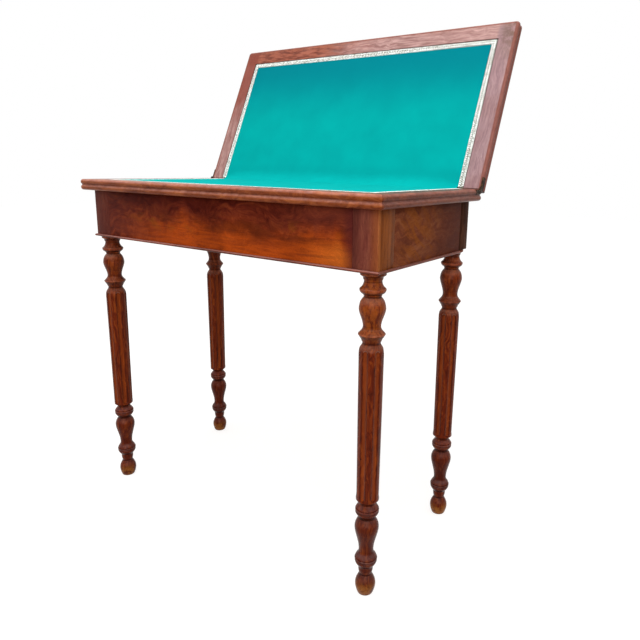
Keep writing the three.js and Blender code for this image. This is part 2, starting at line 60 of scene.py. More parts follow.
# Sizes in millimetres and degrees, as in the joiner's model
MM = 0.001
LEAF_HALF = 400
LEAF_DEPTH = 390
LEAF_THICK = 24
BORDER = 41
REED = 6
REED_GROOVE = 3
RECESS = 2
TONGUE = 6
TONGUE_THICK = 7
SEAM = 0.3
HINGE_PLAY = 0.25
LID_LEAN = 24
LID_VENEER = 1
CORNER_ROUND = 5
LID_CORNER_ROUND = 9
# Width of the strip along a border's inner edge, beside the braid, that is painted dark as shade
INNER_SHADED_STRIP = 1.6
ARRIS = 0.6
BRAID_WIDTH = 12
CLOTH_THICK = 1.2
SEAT_FRONT = 606.5
SEAT_BACK = 611.5
LEG_TENON = (8, 45)
FLUTES = 6
FLUTE_DEPTH = 2.8
FLUTE_SHARE = 0.52
SHAFT_FOOT = (21, 192.5)
SHAFT_HEAD = (22.4, 459.1)
FLUTE_FOOT_MARGIN = 2
FLUTE_HEAD_RUN = 19
HINGE_PLATE = 4
HINGE_LENGTH = 26
HINGE_LOW = 10
KNUCKLE = 4.2
SCREW_PLACES = (-20.1, -10.1)
SCREW_HEIGHT = -5.5

# Where a leaf's own frame stands: its playing face at nought, its back edge at the hinge
STANDING = Matrix.Identity(4)
LOWER = Matrix.Translation(hinge - Vector((0, HINGE_PLAY * MM, HINGE_PLAY * MM)))
LID = (
    Matrix.Translation(hinge)
    @ Matrix.Rotation(math.radians(90 - LID_LEAN), 4, "X")
    @ Matrix.Translation((0, HINGE_PLAY * MM, -HINGE_PLAY * MM))
    @ Matrix.Rotation(math.pi, 4, "Z")
)


# Meshes and pieces

def placed(points, place=STANDING):
    """Points in millimetres, set in the frame in metres."""
    flat = np.asarray(points, float) * MM
    return flat @ np.array(place.to_3x3()).T + np.array(place.translation)


def add_object(name, data):
    made = bpy.data.objects.new(name, data)
    bpy.context.scene.collection.objects.link(made)
    return made


def new_object(name, points, faces, place=STANDING, edges=()):
    mesh = bpy.data.meshes.new(name)
    mesh.from_pydata(placed(points, place).tolist(), list(edges), [list(f) for f in faces])
    return add_object(name, mesh)


def remove(thing):
    mesh = thing.data
    bpy.data.objects.remove(thing)
    bpy.data.meshes.remove(mesh)


def settle(thing):
    """Turns the live modifiers of a piece into plain mesh."""
    graph = bpy.context.evaluated_depsgraph_get()
    graph.update()
    plain = bpy.data.meshes.new_from_object(thing.evaluated_get(graph))
    thing.modifiers.clear()
    old = thing.data
    thing.data = plain
    plain.name = thing.name
    bpy.data.meshes.remove(old)
    return thing


def smooth_by_angle(thing, degrees=34, recalculate=False):
    bm = bmesh.new()
    bm.from_mesh(thing.data)
    if recalculate:
        bmesh.ops.recalc_face_normals(bm, faces=bm.faces)
    for face in bm.faces:
        face.smooth = True
    limit = math.radians(degrees)
    for edge in bm.edges:
        edge.smooth = len(edge.link_faces) == 2 and edge.calc_face_angle(0) < limit
    bm.to_mesh(thing.data)
    bm.free()
    return thing


def cut_from(thing, *cutters):
    for cutter in cutters:
        knife = thing.modifiers.new("cut", "BOOLEAN")
        knife.object = cutter
        knife.operation = "DIFFERENCE"
        knife.solver = "EXACT"
    settle(thing)
    for cutter in cutters:
        remove(cutter)


def box_cutter(low, high, place):
    points = [
        (x, y, z) for z in (low[2], high[2]) for y in (low[1], high[1]) for x in (low[0], high[0])
    ]
    faces = [(0, 2, 3, 1), (4, 5, 7, 6), (0, 1, 5, 4), (2, 6, 7, 3), (0, 4, 6, 2), (1, 3, 7, 5)]
    return smooth_by_angle(new_object("cutter", points, faces, place), recalculate=True)


def round_cutter(radius, x_low, x_high, y, z, place, sides=40):
    turns = np.linspace(0, 2 * math.pi, sides, endpoint=False)
    points = [(x, y + radius * math.cos(t), z + radius * math.sin(t)) for x in (x_low, x_high) for t in turns]
    faces = [tuple(range(sides)), tuple(range(2 * sides - 1, sides - 1, -1))]
    faces += [(i, i + sides, (i + 1) % sides + sides, (i + 1) % sides) for i in range(sides)]
    return smooth_by_angle(new_object("cutter", points, faces, place), recalculate=True)


def mark(thing, name, values, kind="FLOAT"):
    """Stores a number, or a vector, with each point of a mesh."""
    attribute = thing.data.attributes.new(name, kind, "POINT")
    key = "value" if kind == "FLOAT" else "vector"
    attribute.data.foreach_set(key, np.ravel(values).astype(np.float32))


# How far one board lies from the next in the wood, in metres, along the grain and across it twice
BOARD_STEP = np.array([1.37, 0.61, 0.43])
board_numbers = itertools.count(1)


def set_timber(thing, along, place=STANDING):
    """Stores each point's place in the piece of wood: along the grain, then across it twice.
    Every piece starts somewhere else, as if cut from its own board."""
    points = np.zeros(len(thing.data.vertices) * 3)
    thing.data.vertices.foreach_get("co", points)
    points = points.reshape(-1, 3) - np.array(place.translation)
    local = points @ np.array(place.to_3x3())
    order = {"x": [0, 1, 2], "y": [1, 0, 2], "z": [2, 0, 1]}[along]
    mark(thing, "timber", local[:, order] + BOARD_STEP * next(board_numbers), "FLOAT_VECTOR")


def finish_piece(thing, material, body, slot_name, *replaced):
    thing.data.materials.clear()
    thing.data.materials.append(material)
    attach(thing, body)
    if replaced:
        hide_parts(*replaced)


# A joiner's mesh: how near its points merge, which joins count as flat, and which as hard edges
MERGE = 2e-6
FLAT_JOIN = math.radians(0.6)
HARD_EDGE = math.radians(40)


def refined(node, along, material, body, slot_name, ease, place=STANDING, angle=34):
    """A fine copy of a joiner's piece, with its hard edges eased."""
    bm = bmesh.new()
    bm.from_mesh(nodes[node].data)
    bmesh.ops.remove_doubles(bm, verts=bm.verts, dist=MERGE)
    bmesh.ops.dissolve_limit(bm, angle_limit=FLAT_JOIN, verts=bm.verts, edges=bm.edges)
    if ease:
        hard = [e for e in bm.edges if len(e.link_faces) == 2 and e.calc_face_angle(0) > HARD_EDGE]
        bmesh.ops.bevel(
            bm, geom=hard, offset=ease * MM, segments=2, profile=0.5, affect="EDGES", clamp_overlap=True
        )
    name = node + "_finished"
    mesh = bpy.data.meshes.new(name)
    bm.to_mesh(mesh)
    bm.free()
    made = smooth_by_angle(add_object(name, mesh), angle)
    set_timber(made, along, place)
    finish_piece(made, material, body, slot_name, node)


# Node trees

class Wire:
    """A value that a node puts out. It is reckoned with as a number is."""

    def __init__(self, socket):
        self.socket = socket
        self.tree = socket.id_data

    def __add__(self, other):
        return calc("ADD", self, other)

    def __sub__(self, other):
        return calc("SUBTRACT", self, other)

    def __mul__(self, other):
        return calc("MULTIPLY", self, other)

    def __truediv__(self, other):
        return calc("DIVIDE", self, other)

    def __rtruediv__(self, other):
        return calc("DIVIDE", other, self)


def feed(socket, value):
    if isinstance(value, Wire):
        value.tree.links.new(value.socket, socket)
    else:
        socket.default_value = value


def put(tree, kind, inputs=None, give=0, **settings):
    """Adds a node, its settings first, and gives the output that is asked for, or a dict of them all."""
    made = tree.nodes.new(kind)
    for key, value in settings.items():
        setattr(made, key, value)
    for key, value in (inputs or {}).items():
        feed(made.inputs[key], value)
    if give is None:
        return {output.name: Wire(output) for output in made.outputs}
    return Wire(made.outputs[give])


def calc(operation, *values):
    tree = next(value.tree for value in values if isinstance(value, Wire))
    return put(tree, "ShaderNodeMath", dict(enumerate(values)), operation=operation)


def joined(tree, **parts):
    """A vector of the coordinates X, Y and Z that are given."""
    return put(tree, "ShaderNodeCombineXYZ", parts)


def split(vector):
    return list(put(vector.tree, "ShaderNodeSeparateXYZ", {"Vector": vector}, give=None).values())


def vector_calc(operation, first, second=None):
    inputs = {0: first} if second is None else {0: first, 1: second}
    return put(first.tree, "ShaderNodeVectorMath", inputs, "Value" if operation == "LENGTH" else "Vector",
               operation=operation)


def scaled(vector, factor):
    return put(vector.tree, "ShaderNodeVectorMath", {0: vector, "Scale": factor}, operation="SCALE")


def stretched(vector, *factors):
    return vector_calc("MULTIPLY", vector, factors)


def ranged(value, low, high, to_low=0, to_high=1, kind="SMOOTHSTEP"):
    return put(value.tree, "ShaderNodeMapRange", {
        "Value": value, "From Min": low, "From Max": high, "To Min": to_low, "To Max": to_high},
        interpolation_type=kind)


def between(value, low, high, soft):
    """One between two limits, nought outside them."""
    return ranged(value, low - soft, low + soft) * ranged(value, high + soft, high - soft)


def noise(vector, scale, detail=3, roughness=0.5, distortion=0, give=0):
    return put(vector.tree, "ShaderNodeTexNoise", {
        "Vector": vector, "Scale": scale, "Detail": detail, "Roughness": roughness, "Distortion": distortion}, give)


def srgb(red, green, blue):
    linear = [
        c / 12.92 if c <= 0.04045 else ((c + 0.055) / 1.055) ** 2.4
        for c in (red / 255, green / 255, blue / 255)
    ]
    return (*linear, 1)


def mixed(factor, first, second, blend="MIX"):
    """A mix of two colours, each written as a tuple of sRGB values or given by a node."""
    tree = next(value.tree for value in (factor, first, second) if isinstance(value, Wire))
    first, second = (srgb(*value) if isinstance(value, tuple) else value for value in (first, second))
    return put(tree, "ShaderNodeMix", {0: factor, 6: first, 7: second}, 2, data_type="RGBA", blend_type=blend)


def coat(colour, mask, *rgb):
    """Another colour laid over one where a mask says so."""
    return mixed(mask, colour, rgb)


def group(name, inputs, outputs, kind="ShaderNodeTree"):
    """A node group. An input is named with its default or, where it has none, with its type."""
    tree = bpy.data.node_groups.new(name, kind)
    for label, default in inputs.items():
        typed = isinstance(default, str)
        socket = tree.interface.new_socket(
            label, in_out="INPUT", socket_type="NodeSocket" + (default if typed else "Float"))
        if not typed:
            socket.default_value = default
    for label in outputs:
        socket_type = "NodeSocketGeometry" if label == "Geometry" else "NodeSocketFloat"
        tree.interface.new_socket(label, in_out="OUTPUT", socket_type=socket_type)
    given = put(tree, "NodeGroupInput", give=None)
    return tree, given, tree.nodes.new("NodeGroupOutput").inputs


def grain_group():
    """Wood grain: tone in broad bands that wander with the figure, fine fibres, dark pores."""
    tree, given, result = group(
        "Timber grain", {"Timber": "Vector", "Figure": 0.3, "Band Width": 14, "Stretch": 9},
        ["Tone", "Fibre", "Pores", "Height"])
    timber = given["Timber"]
    swirl = vector_calc("SUBTRACT", noise(timber, 9, 2, 0.5, 1.2, "Color"), (0.5, 0.5, 0.5))
    bent = vector_calc("ADD", timber, scaled(swirl, given["Figure"] * 0.16))
    across = 1000 / given["Band Width"]
    banded = vector_calc("MULTIPLY", bent, joined(tree, X=across / given["Stretch"], Y=across, Z=across))
    fibre = noise(stretched(bent, 26, 700, 700), 1, 3, 0.6)
    pores = ranged(noise(stretched(bent, 110, 1700, 1700), 1, 2, 0.5), 0.60, 0.70)
    feed(result["Tone"], ranged(noise(banded, 1, 4, 0.6, 0.35), 0.30, 0.70, kind="LINEAR"))
    feed(result["Fibre"], fibre)
    feed(result["Pores"], pores)
    feed(result["Height"], fibre * 0.4 - pores)
    return tree


def wear_group():
    """Patches where the polish has gone."""
    tree, given, result = group("Worn polish", {"Place": "Vector", "Patches A Metre": 7}, ["Patch"])
    feed(result["Patch"], ranged(noise(given["Place"], given["Patches A Metre"], 4, 0.55), 0.42, 0.66))
    return tree


def moulding_group():
    """What a moulding or a turning shows: crests rubbed bare and painted pale as a highlight, dirt and painted
    shade in hollows and under ledges, painted shade along the walls of flutes, dust and a painted sheen on ledges."""
    tree, given, result = group(
        "Moulding marks", {"Place": "Vector", "Crest": 0, "Hollow": 0, "Ledge": 0, "Flute": 0, "Wear": 0.25},
        ["Rubbed", "Dirt", "Dust"])
    place, flute = given["Place"], given["Flute"]
    flute_wall = ranged(flute, 0, 0.12) * ranged(flute, 0.6, 0.3)
    feed(result["Rubbed"], given["Crest"] * ranged(noise(place, 90, 4, 0.6), 0.35, 0.65) * given["Wear"])
    feed(result["Dirt"], calc("MAXIMUM", given["Hollow"], flute_wall * 0.55) * 0.85)
    feed(result["Dust"], given["Ledge"] * ranged(noise(place, 60, 5, 0.7), 0.3, 0.68, 0.3, 1))
    return tree


def felt_group():
    """Felted woollen cloth: a fine mottle with stray fibres lying one way."""
    tree, given, result = group("Felted cloth", {"Cloth": "Vector", "Fibre Scale": 1400}, ["Mottle", "Height"])
    fine = noise(given["Cloth"], given["Fibre Scale"], 3, 0.6)
    streak = noise(stretched(given["Cloth"], 300, 1500, 1500), 1, 2)
    feed(result["Mottle"], fine * 0.4 + noise(given["Cloth"], 14) * 0.6)
    feed(result["Height"], fine + streak)
    return tree


GRAIN = grain_group()
WEAR = wear_group()
MOULDING = moulding_group()
FELT = felt_group()


# Materials. Places are in metres in the table's frame, colours in sRGB

def new_material(name, **plain):
    """A material whose plain sockets are set. A low line in a socket's name stands for a space."""
    material = bpy.data.materials.new(name)
    material.use_nodes = True
    tree = material.node_tree
    shader = next(n for n in tree.nodes if n.type == "BSDF_PRINCIPLED")
    for key, value in plain.items():
        shader.inputs[key.replace("_", " ")].default_value = value
    return material, tree, shader


def stored(tree, name, give="Fac"):
    return put(tree, "ShaderNodeAttribute", give=give, attribute_name=name)


def object_place(tree):
    return put(tree, "ShaderNodeTexCoord", give="Object")


def bump(shader, height, distance, strength):
    inputs = {"Height": height, "Distance": distance, "Strength": strength}
    feed(shader.inputs["Normal"], put(height.tree, "ShaderNodeBump", inputs))


# Polish reflects a little red, because the white surround would turn dark wood grey
POLISH_TINT = (1.0, 0.62, 0.5, 1.0)
# Where the flutes' upper ends cut scallops into a leg's shoulder, and where a pale line along them is painted as a
# highlight
SCALLOP_HEIGHT = (0.4705, 0.4735)


def polished_wood(name, dark, middle, light, figure=0.3, band=14, stretch=9, crest_colour=None, soiled=None,
                  patch_strength=0.4, pore_strength=0.4, roughness=(0.28, 0.42), gloss=0.1, moulded=0,
                  dust_and_sheen=None, dust_and_sheen_strength=0, low_dust=None, shade=None):
    """French-polished timber. Where moulded, it reads the crests, hollows, ledges and flutes that are
    stored with the points of mouldings and legs."""
    material, tree, shader = new_material(name, Specular_IOR_Level=gloss, Specular_Tint=POLISH_TINT)
    place = object_place(tree)
    grain = put(tree, "ShaderNodeGroup", {
        "Timber": stored(tree, "timber", "Vector"), "Figure": figure, "Band Width": band, "Stretch": stretch},
        None, node_tree=GRAIN)
    patch = put(tree, "ShaderNodeGroup", {"Place": place}, node_tree=WEAR)
    ramp = tree.nodes.new("ShaderNodeValToRGB")
    feed(ramp.inputs["Fac"], grain["Tone"])
    first, last = ramp.color_ramp.elements
    first.color, last.color, last.position = srgb(*dark), srgb(*light), 0.95
    ramp.color_ramp.elements.new(0.5).color = srgb(*middle)
    colour = Wire(ramp.outputs["Color"])
    deep = [c * 0.25 for c in srgb(*dark)[:3]] + [1]
    if shade:
        colour = shade(colour, place)
    fibre = ranged(grain["Fibre"], 0.25, 0.75, 0.74, 1.2, kind="LINEAR")
    grey = put(tree, "ShaderNodeCombineColor", {"Red": fibre, "Green": fibre, "Blue": fibre})
    colour = mixed(1, colour, grey, "MULTIPLY")
    colour = mixed(grain["Pores"] * pore_strength, colour, deep)
    colour = mixed(patch * patch_strength, colour, soiled or deep)
    rough = grain["Fibre"]
    if moulded:
        flute, hollow = stored(tree, "flute"), stored(tree, "hollow")
        marks = put(tree, "ShaderNodeGroup", {
            "Place": place, "Crest": stored(tree, "crest"), "Hollow": hollow, "Ledge": stored(tree, "ledge"),
            "Flute": flute, "Wear": moulded}, None, node_tree=MOULDING)
        # Painted light and shade: flute bottoms lighter, flute walls and hollows darker with dirt, crests pale as
        # rubbed wear and a painted highlight
        colour = mixed(ranged(flute, 0.5, 0.9) * 0.45, colour, light)
        colour = mixed(marks["Dirt"], colour, deep)
        colour = mixed(marks["Rubbed"], colour, crest_colour)
        rough = rough + marks["Rubbed"] * 0.5
        # Ledges take pale dust and a painted sheen; on legs it greys lower down, and the scallop line is a painted
        # highlight
        dust_and_sheen_mask = marks["Dust"]
        if low_dust:
            z = split(place)[2]
            dust_and_sheen = mixed(ranged(z, 0.2, 0.5), low_dust, dust_and_sheen)
            scallop = between(flute, 0.12, 0.5, 0.08) * ranged(z, *SCALLOP_HEIGHT)
            dust_and_sheen_mask = calc("MAXIMUM", dust_and_sheen_mask, scallop) * ranged(hollow, 0.2, 0.9, 1, 0)
        colour = mixed(dust_and_sheen_mask * dust_and_sheen_strength, colour, dust_and_sheen)
    feed(shader.inputs["Base Color"], colour)
    feed(shader.inputs["Roughness"], ranged(rough, 0.3, 1, *roughness, kind="LINEAR"))
    bump(shader, grain["Height"], 0.00018, 0.7)
    return material


def front_frieze_shade(colour, place):
    """The flame runs low along the board and is brightest at its right end; the top is painted dark red as the shadow
    under the leaf.
    """
    x, _, z = split(place)
    drift = noise(place, 4.5, 3, 0.6, 1.5) - 0.5
    height = z + drift * 0.10
    streaks = noise(stretched(place, 9, 9, 96), 1, 6, 0.7, 0.9)
    flame = ranged(height, 0.684, 0.628) * ranged(streaks, 0.34, 0.60, 0.35, 1)
    flame = flame * ranged(x, -0.34, -0.05, 0.05, 1)
    colour = coat(colour, flame * 0.9, 200, 84, 24)
    flame_end = ranged(x, 0.20, 0.34) * ranged(height, 0.656, 0.622)
    colour = coat(colour, flame_end * 0.75, 212, 112, 40)
    smudge = noise(stretched(place, 13, 13, 26), 1, 4, 0.65, 0.6)
    band = between(z, 0.642, 0.676, 0.014) * between(x, -0.24, 0.30, 0.08)
    colour = coat(colour, band * ranged(smudge, 0.44, 0.62) * 0.5, 84, 36, 16)
    colour = coat(colour, band * ranged(smudge, 0.46, 0.34) * 0.5, 150, 78, 20)
    # Painted shadow of the leaf's overhang along the top of the board
    top = ranged(height, 0.666, 0.716) * ranged(x, 0.20, -0.25, 0.05, 0.85)
    colour = coat(colour, top, 58, 10, 6)
    brown_end = ranged(x, 0.12, 0.30) * ranged(height, 0.650, 0.690)
    colour = coat(colour, brown_end * 0.55, 118, 56, 42)
    return coat(colour, ranged(x + drift * 0.05, 0.300, 0.334, 0, 0.8), 88, 34, 34)


def side_frieze_shade(colour, place):
    """Feather marks slant down to the back of a side board, and the board grows darker that way, partly in its wood and
    partly as painted shade.
    """
    x, y, z = split(place)
    slant = joined(place.tree, X=(y * 0.8 + z * -0.6) * 14, Y=(y * 0.6 + z * 0.8) * 60, Z=x)
    feather = ranged(noise(slant, 1, 4, 0.65, 0.7), 0.44, 0.62) * between(y, -0.19, -0.06, 0.06)
    colour = coat(colour, feather * 0.7, 150, 82, 34)
    # Darker toward the back: partly wood colour, partly painted shade
    return coat(colour, ranged(y, -0.12, 0.05) * 0.8, 84, 34, 22)


def post_shade(colour, place):
    """The right-hand corner post shows lighter wood at its outer face, and its arris is rubbed."""
    x, y, _ = split(place)
    streaks = ranged(noise(stretched(place, 90, 90, 6), 1, 4, 0.6), 0.35, 0.65)
    ragged_x = x + (noise(place, 24, 3, 0.6) - 0.5) * 0.006
    front = ranged(y, -0.254, -0.260)
    outer_face = mixed(streaks, (116, 60, 27), (154, 86, 42))
    colour = mixed(ranged(x, 0.3802, 0.3806), colour, outer_face)
    colour = coat(colour, ranged(ragged_x, 0.358, 0.378) * front * 0.6, 150, 78, 34)
    colour = coat(colour, ranged(x, 0.350, 0.337) * front * 0.5, 78, 34, 30)
    arris = ranged(ragged_x, 0.3780, 0.3800) * front * ranged(streaks, 0, 1, 0.1, 0.6)
    return coat(colour, arris, 186, 112, 66)


def lid_border_shade(colour, place):
    """The lid's border is painted pink-mauve as a reflection of a pale sky, most of all at the right; at the left it is
    red-brown, its reeds are darker, its bottom end is dark, and it is soiled at the right-hand top corner."""
    x, y, z = split(place)
    lean = math.radians(LID_LEAN)
    rise = (y - hinge.y) * math.sin(lean) + (z - hinge.z) * math.cos(lean)
    drift = (noise(place, 9, 4, 0.6) - 0.5) * 0.3
    streaks = noise(stretched(place, 26, 140, 140), 1, 5, 0.7)
    brown = mixed(ranged(streaks, 0.42, 0.6), (156, 86, 64), (104, 48, 34))
    top_left = ranged(rise, 0.342, 0.352) * ranged(x + drift, 0.10, -0.22)
    colour = mixed(top_left * 0.95, colour, brown)
    left = ranged(x, -0.35, -0.36) * ranged(rise + drift, 0.08, 0.26, 0.15, 0.9)
    colour = coat(colour, left, 132, 64, 52)
    # Mauve at the right: a painted reflection of a pale sky
    colour = coat(colour, ranged(x, 0.352, 0.360) * 0.6, 148, 122, 130)
    corner = ranged(x, 0.345, 0.385) * ranged(rise, 0.26, 0.37)
    grime = corner * ranged(noise(place, 42, 4, 0.65), 0.36, 0.58)
    colour = coat(colour, grime * 0.8, 104, 84, 72)
    side_reeds = ranged(calc("ABSOLUTE", x), 0.3915, 0.3935)
    reeds = calc("MAXIMUM", side_reeds, ranged(rise, 0.3825, 0.3845))
    colour = coat(colour, reeds * 0.9, 126, 70, 58)
    # The bottom end is dark as end grain and as painted shade
    return coat(colour, ranged(rise, 0.002, 0.0005), 44, 20, 14)


def leg_shade(colour, place):
    """Legs are darker below the flutes, and the front right one is lighter above them. Feet are scuffed
    pale, shafts wormed."""
    x, y, z = split(place)
    front_right = ranged(x, 0, 0.3) * ranged(y, 0, -0.2)
    above_shaft = ranged(z, 0.47, 0.50)
    drips = ranged(noise(stretched(place, 160, 160, 22), 1, 3, 0.6), 0.4, 0.62)
    upper = above_shaft * ranged(drips, 0, 1, 0.7, 0.1) * ranged(front_right, 0, 1, 0.2, 1)
    colour = coat(colour, upper, 158, 78, 24)
    stain = ranged(noise(place, 110, 4, 0.7), 0.52, 0.66) * above_shaft
    colour = coat(colour, stain * 0.6, 72, 20, 6)
    colour = coat(colour, ranged(z, 0.19, 0.15) * 0.4, 60, 14, 4)
    scuff = ranged(z, 0.034, 0.012) * ranged(noise(place, 60, 4, 0.65), 0.34, 0.56)
    colour = coat(colour, scuff * 0.85, 168, 104, 44)
    cells = put(place.tree, "ShaderNodeTexVoronoi", {"Vector": place, "Scale": 95}, None)
    wormed = put(place.tree, "ShaderNodeSeparateColor", {"Color": cells["Color"]})
    hole = ranged(cells["Distance"], 0.13, 0.07) * calc("GREATER_THAN", wormed, 0.72)
    return coat(colour, hole * 0.9, 34, 8, 4)


def bead_shade(colour, place):
    """The upper half of the bead is painted pale as a highlight, most of all in front, and the lower half is painted
    dark as shade.
    """
    _, y, z = split(place)
    above = z - SEAT_FRONT * MM
    # Upper half: painted highlight; lower half: painted shade
    pale = mixed(ranged(y, -0.268, -0.262), (186, 128, 118), (128, 74, 62))
    colour = mixed(ranged(above, 0.0026, 0.0036), colour, pale)
    return coat(colour, ranged(above, 0.0018, 0), 64, 18, 12)


def cloth_material():
    """Baize, with a little painted shade where it folds at the hinge and toward the lid's top."""
    material, tree, shader = new_material(
        "green baize", Roughness=0.95, Sheen_Weight=0.12, Sheen_Roughness=0.45, Sheen_Tint=srgb(20, 235, 220),
        Specular_IOR_Level=0.03)
    cloth = stored(tree, "cloth", "Vector")
    felt = put(tree, "ShaderNodeGroup", {"Cloth": cloth}, None, node_tree=FELT)
    mottle = ranged(felt["Mottle"], 0.3, 0.7, kind="LINEAR")
    colour = mixed(mottle, (0, 146, 144), (0, 160, 156))
    along = split(cloth)[1]
    # Painted shade where the cloth folds at the hinge
    colour = coat(colour, between(along, 0.346, 0.372, 0.012) * 0.15, 0, 120, 122)
    # Painted shade, darker toward the lid's top
    colour = coat(colour, ranged(along, 0.48, 0.66) * 0.85, 0, 112, 126)
    feed(shader.inputs["Base Color"], colour)
    bump(shader, felt["Height"], 0.0003, 0.5)
    return material


def braid_material():
    material, tree, shader = new_material("woven braid", Roughness=0.85, Sheen_Weight=0.1, Specular_IOR_Level=0.1)
    place = object_place(tree)
    soil = ranged(noise(place, 60, 4, 0.6), 0.45, 0.75)
    speck = ranged(noise(place, 330, 3, 0.6), 0.5, 0.6)
    thread = noise(place, 2600, 2)
    colour = mixed(ranged(thread, 0.3, 0.7), (236, 238, 234), (255, 255, 252))
    colour = coat(colour, soil * 0.35, 176, 172, 150)
    colour = coat(colour, speck * 0.7, 118, 120, 100)
    # The tape under the stitches is coloured dark as painted shade between them
    colour = coat(colour, stored(tree, "tape"), 92, 88, 72)
    feed(shader.inputs["Base Color"], colour)
    bump(shader, thread, 0.0002, 0.6)
    return material


def brass_material():
    material, tree, shader = new_material("tarnished brass", Specular_IOR_Level=0.2)
    place = object_place(tree)
    tarnish = ranged(noise(place, 160, 5, 0.65), 0.3, 0.6)
    scratch = noise(stretched(place, 900, 200, 3000), 1, 2)
    feed(shader.inputs["Base Color"], mixed(tarnish, (78, 56, 36), (30, 20, 14)))
    feed(shader.inputs["Metallic"], ranged(tarnish, 0, 1, 0.85, 0.4, kind="LINEAR"))
    feed(shader.inputs["Roughness"], ranged(tarnish + scratch, 0.2, 1.5, 0.4, 0.7))
    bump(shader, scratch, 0.00008, 0.5)
    return material


# Pale dust with a painted sheen, laid on the ledges of mouldings
DUST_AND_SHEEN = (222, 164, 150)
dark_wood = polished_wood(
    "dark mahogany", (106, 50, 42), (124, 64, 52), (140, 78, 60), figure=0.12, band=10, stretch=5,
    patch_strength=0.45, gloss=0.02, shade=post_shade)
block_wood = polished_wood(
    "back frame mahogany", (50, 29, 20), (76, 46, 34), (102, 66, 48), figure=0.15, band=12, stretch=12,
    patch_strength=0.3, gloss=0.004)
frieze_wood = polished_wood(
    "flame mahogany", (72, 20, 14), (104, 38, 24), (134, 58, 32), figure=0.7, band=16, stretch=6,
    patch_strength=0.25, gloss=0.01, shade=front_frieze_shade)
side_wood = polished_wood(
    "feathered mahogany", (96, 48, 34), (126, 68, 46), (148, 88, 58), band=13, stretch=5,
    patch_strength=0.25, gloss=0.004, shade=side_frieze_shade)
bead_wood = polished_wood(
    "bead mahogany", (82, 34, 24), (118, 56, 40), (148, 80, 60), figure=0.1, band=8, stretch=14,
    shade=bead_shade)
# Crests of the borders' reeds are pale as rubbed wear and as a painted highlight, here and below
border_wood = polished_wood(
    "border mahogany", (98, 38, 14), (138, 66, 32), (168, 92, 48), figure=0.35, band=9, stretch=10,
    crest_colour=(176, 104, 62), patch_strength=0.35, soiled=(70, 26, 12), moulded=0.25, dust_and_sheen=DUST_AND_SHEEN, dust_and_sheen_strength=0.4)
# A darker copy of the border mahogany for the side borders: painted shade
shaded_side_border_wood = polished_wood(
    "shaded side border mahogany", (80, 30, 14), (110, 48, 26), (136, 70, 40), figure=0.35, band=9, stretch=10,
    crest_colour=(168, 100, 72), patch_strength=0.35, soiled=(56, 20, 10), moulded=0.25, dust_and_sheen=DUST_AND_SHEEN, dust_and_sheen_strength=0.25)
# Pink-mauve colours: a painted reflection of a pale sky on the polish
lid_wood = polished_wood(
    "lid border mahogany", (138, 98, 94), (170, 132, 127), (196, 158, 152), figure=0.15, band=6, stretch=11,
    crest_colour=(186, 124, 92), patch_strength=0.3, soiled=(112, 66, 58), moulded=0.12, dust_and_sheen=DUST_AND_SHEEN, dust_and_sheen_strength=0.12,
    shade=lid_border_shade)
# Ring crests are pale as rubbed wear and as a painted highlight
leg_wood = polished_wood(
    "turned mahogany", (66, 14, 4), (106, 34, 8), (144, 64, 18), figure=0.2, band=4.5, stretch=24,
    crest_colour=(190, 104, 74), patch_strength=0.25, moulded=0.45, roughness=(0.2, 0.32),
    dust_and_sheen=(196, 140, 118), dust_and_sheen_strength=0.3, low_dust=(130, 104, 102), shade=leg_shade)
veneer_wood = polished_wood(
    "lid veneer", (76, 28, 16), (110, 48, 24), (142, 72, 34), figure=0.7, band=22, stretch=7, patch_strength=0.3)
bare_wood = polished_wood(
    "bare softwood", (112, 84, 54), (150, 116, 78), (178, 144, 102), figure=0.2, band=7, stretch=18,
    patch_strength=0.35, soiled=(96, 72, 48), pore_strength=0.15, roughness=(0.6, 0.8), gloss=0.2)
baize = cloth_material()
braid_cloth = braid_material()
brass = brass_material()


# Leaves: borders with two reeds, mitred at the outer corners

def arc(centre, radius, start, end, steps):
    turns = np.radians(np.linspace(start, end, steps + 1))
    return [(centre[0] + radius * math.cos(t), centre[1] + radius * math.sin(t)) for t in turns]


def border_profile(veneer):
    """The border's section, as (distance in from the outer face, height) in millimetres."""
    groove = math.degrees(math.acos(1 - REED_GROOVE / REED))
    softened = 4  # degrees left off where the two reeds meet
    tongue_middle = -RECESS - (LEAF_THICK - RECESS) / 2
    slot = TONGUE_THICK / 2 + SEAM
    rebate = veneer + SEAM if veneer else 0
    low = rebate - LEAF_THICK
    line = arc((BORDER - ARRIS, -ARRIS), ARRIS, 0, 90, 3)
    line += [(x, 0) for x in (BORDER - INNER_SHADED_STRIP, *np.linspace(BORDER - 4, REED + 1, 4))]
    line += arc((REED, -REED), REED, 90, 180 + groove - softened, 20)
    line += arc((REED, -3 * REED), REED, 180 - groove + softened, 270, 20)
    if rebate:
        line += [(REED, low)]
    line += [(BORDER, low), (BORDER, tongue_middle - slot), (BORDER - TONGUE, tongue_middle - slot),
             (BORDER - TONGUE, tongue_middle + slot), (BORDER, tongue_middle + slot)]
    return line


def rounded_corner(points, radius):
    """Rounds the outer corners of a leaf in plan."""
    points = np.array(points, float)
    over_x = np.abs(points[:, 0]) - (LEAF_HALF - radius)
    over_y = -(LEAF_DEPTH - radius) - points[:, 1]
    both = (over_x > 0) & (over_y > 0)
    reach = np.maximum(over_x, over_y)[both] / np.hypot(over_x, over_y)[both]
    side = np.sign(points[both, 0])
    points[both, 0] = side * (LEAF_HALF - radius + over_x[both] * reach)
    points[both, 1] = -(LEAF_DEPTH - radius) - over_y[both] * reach
    return points


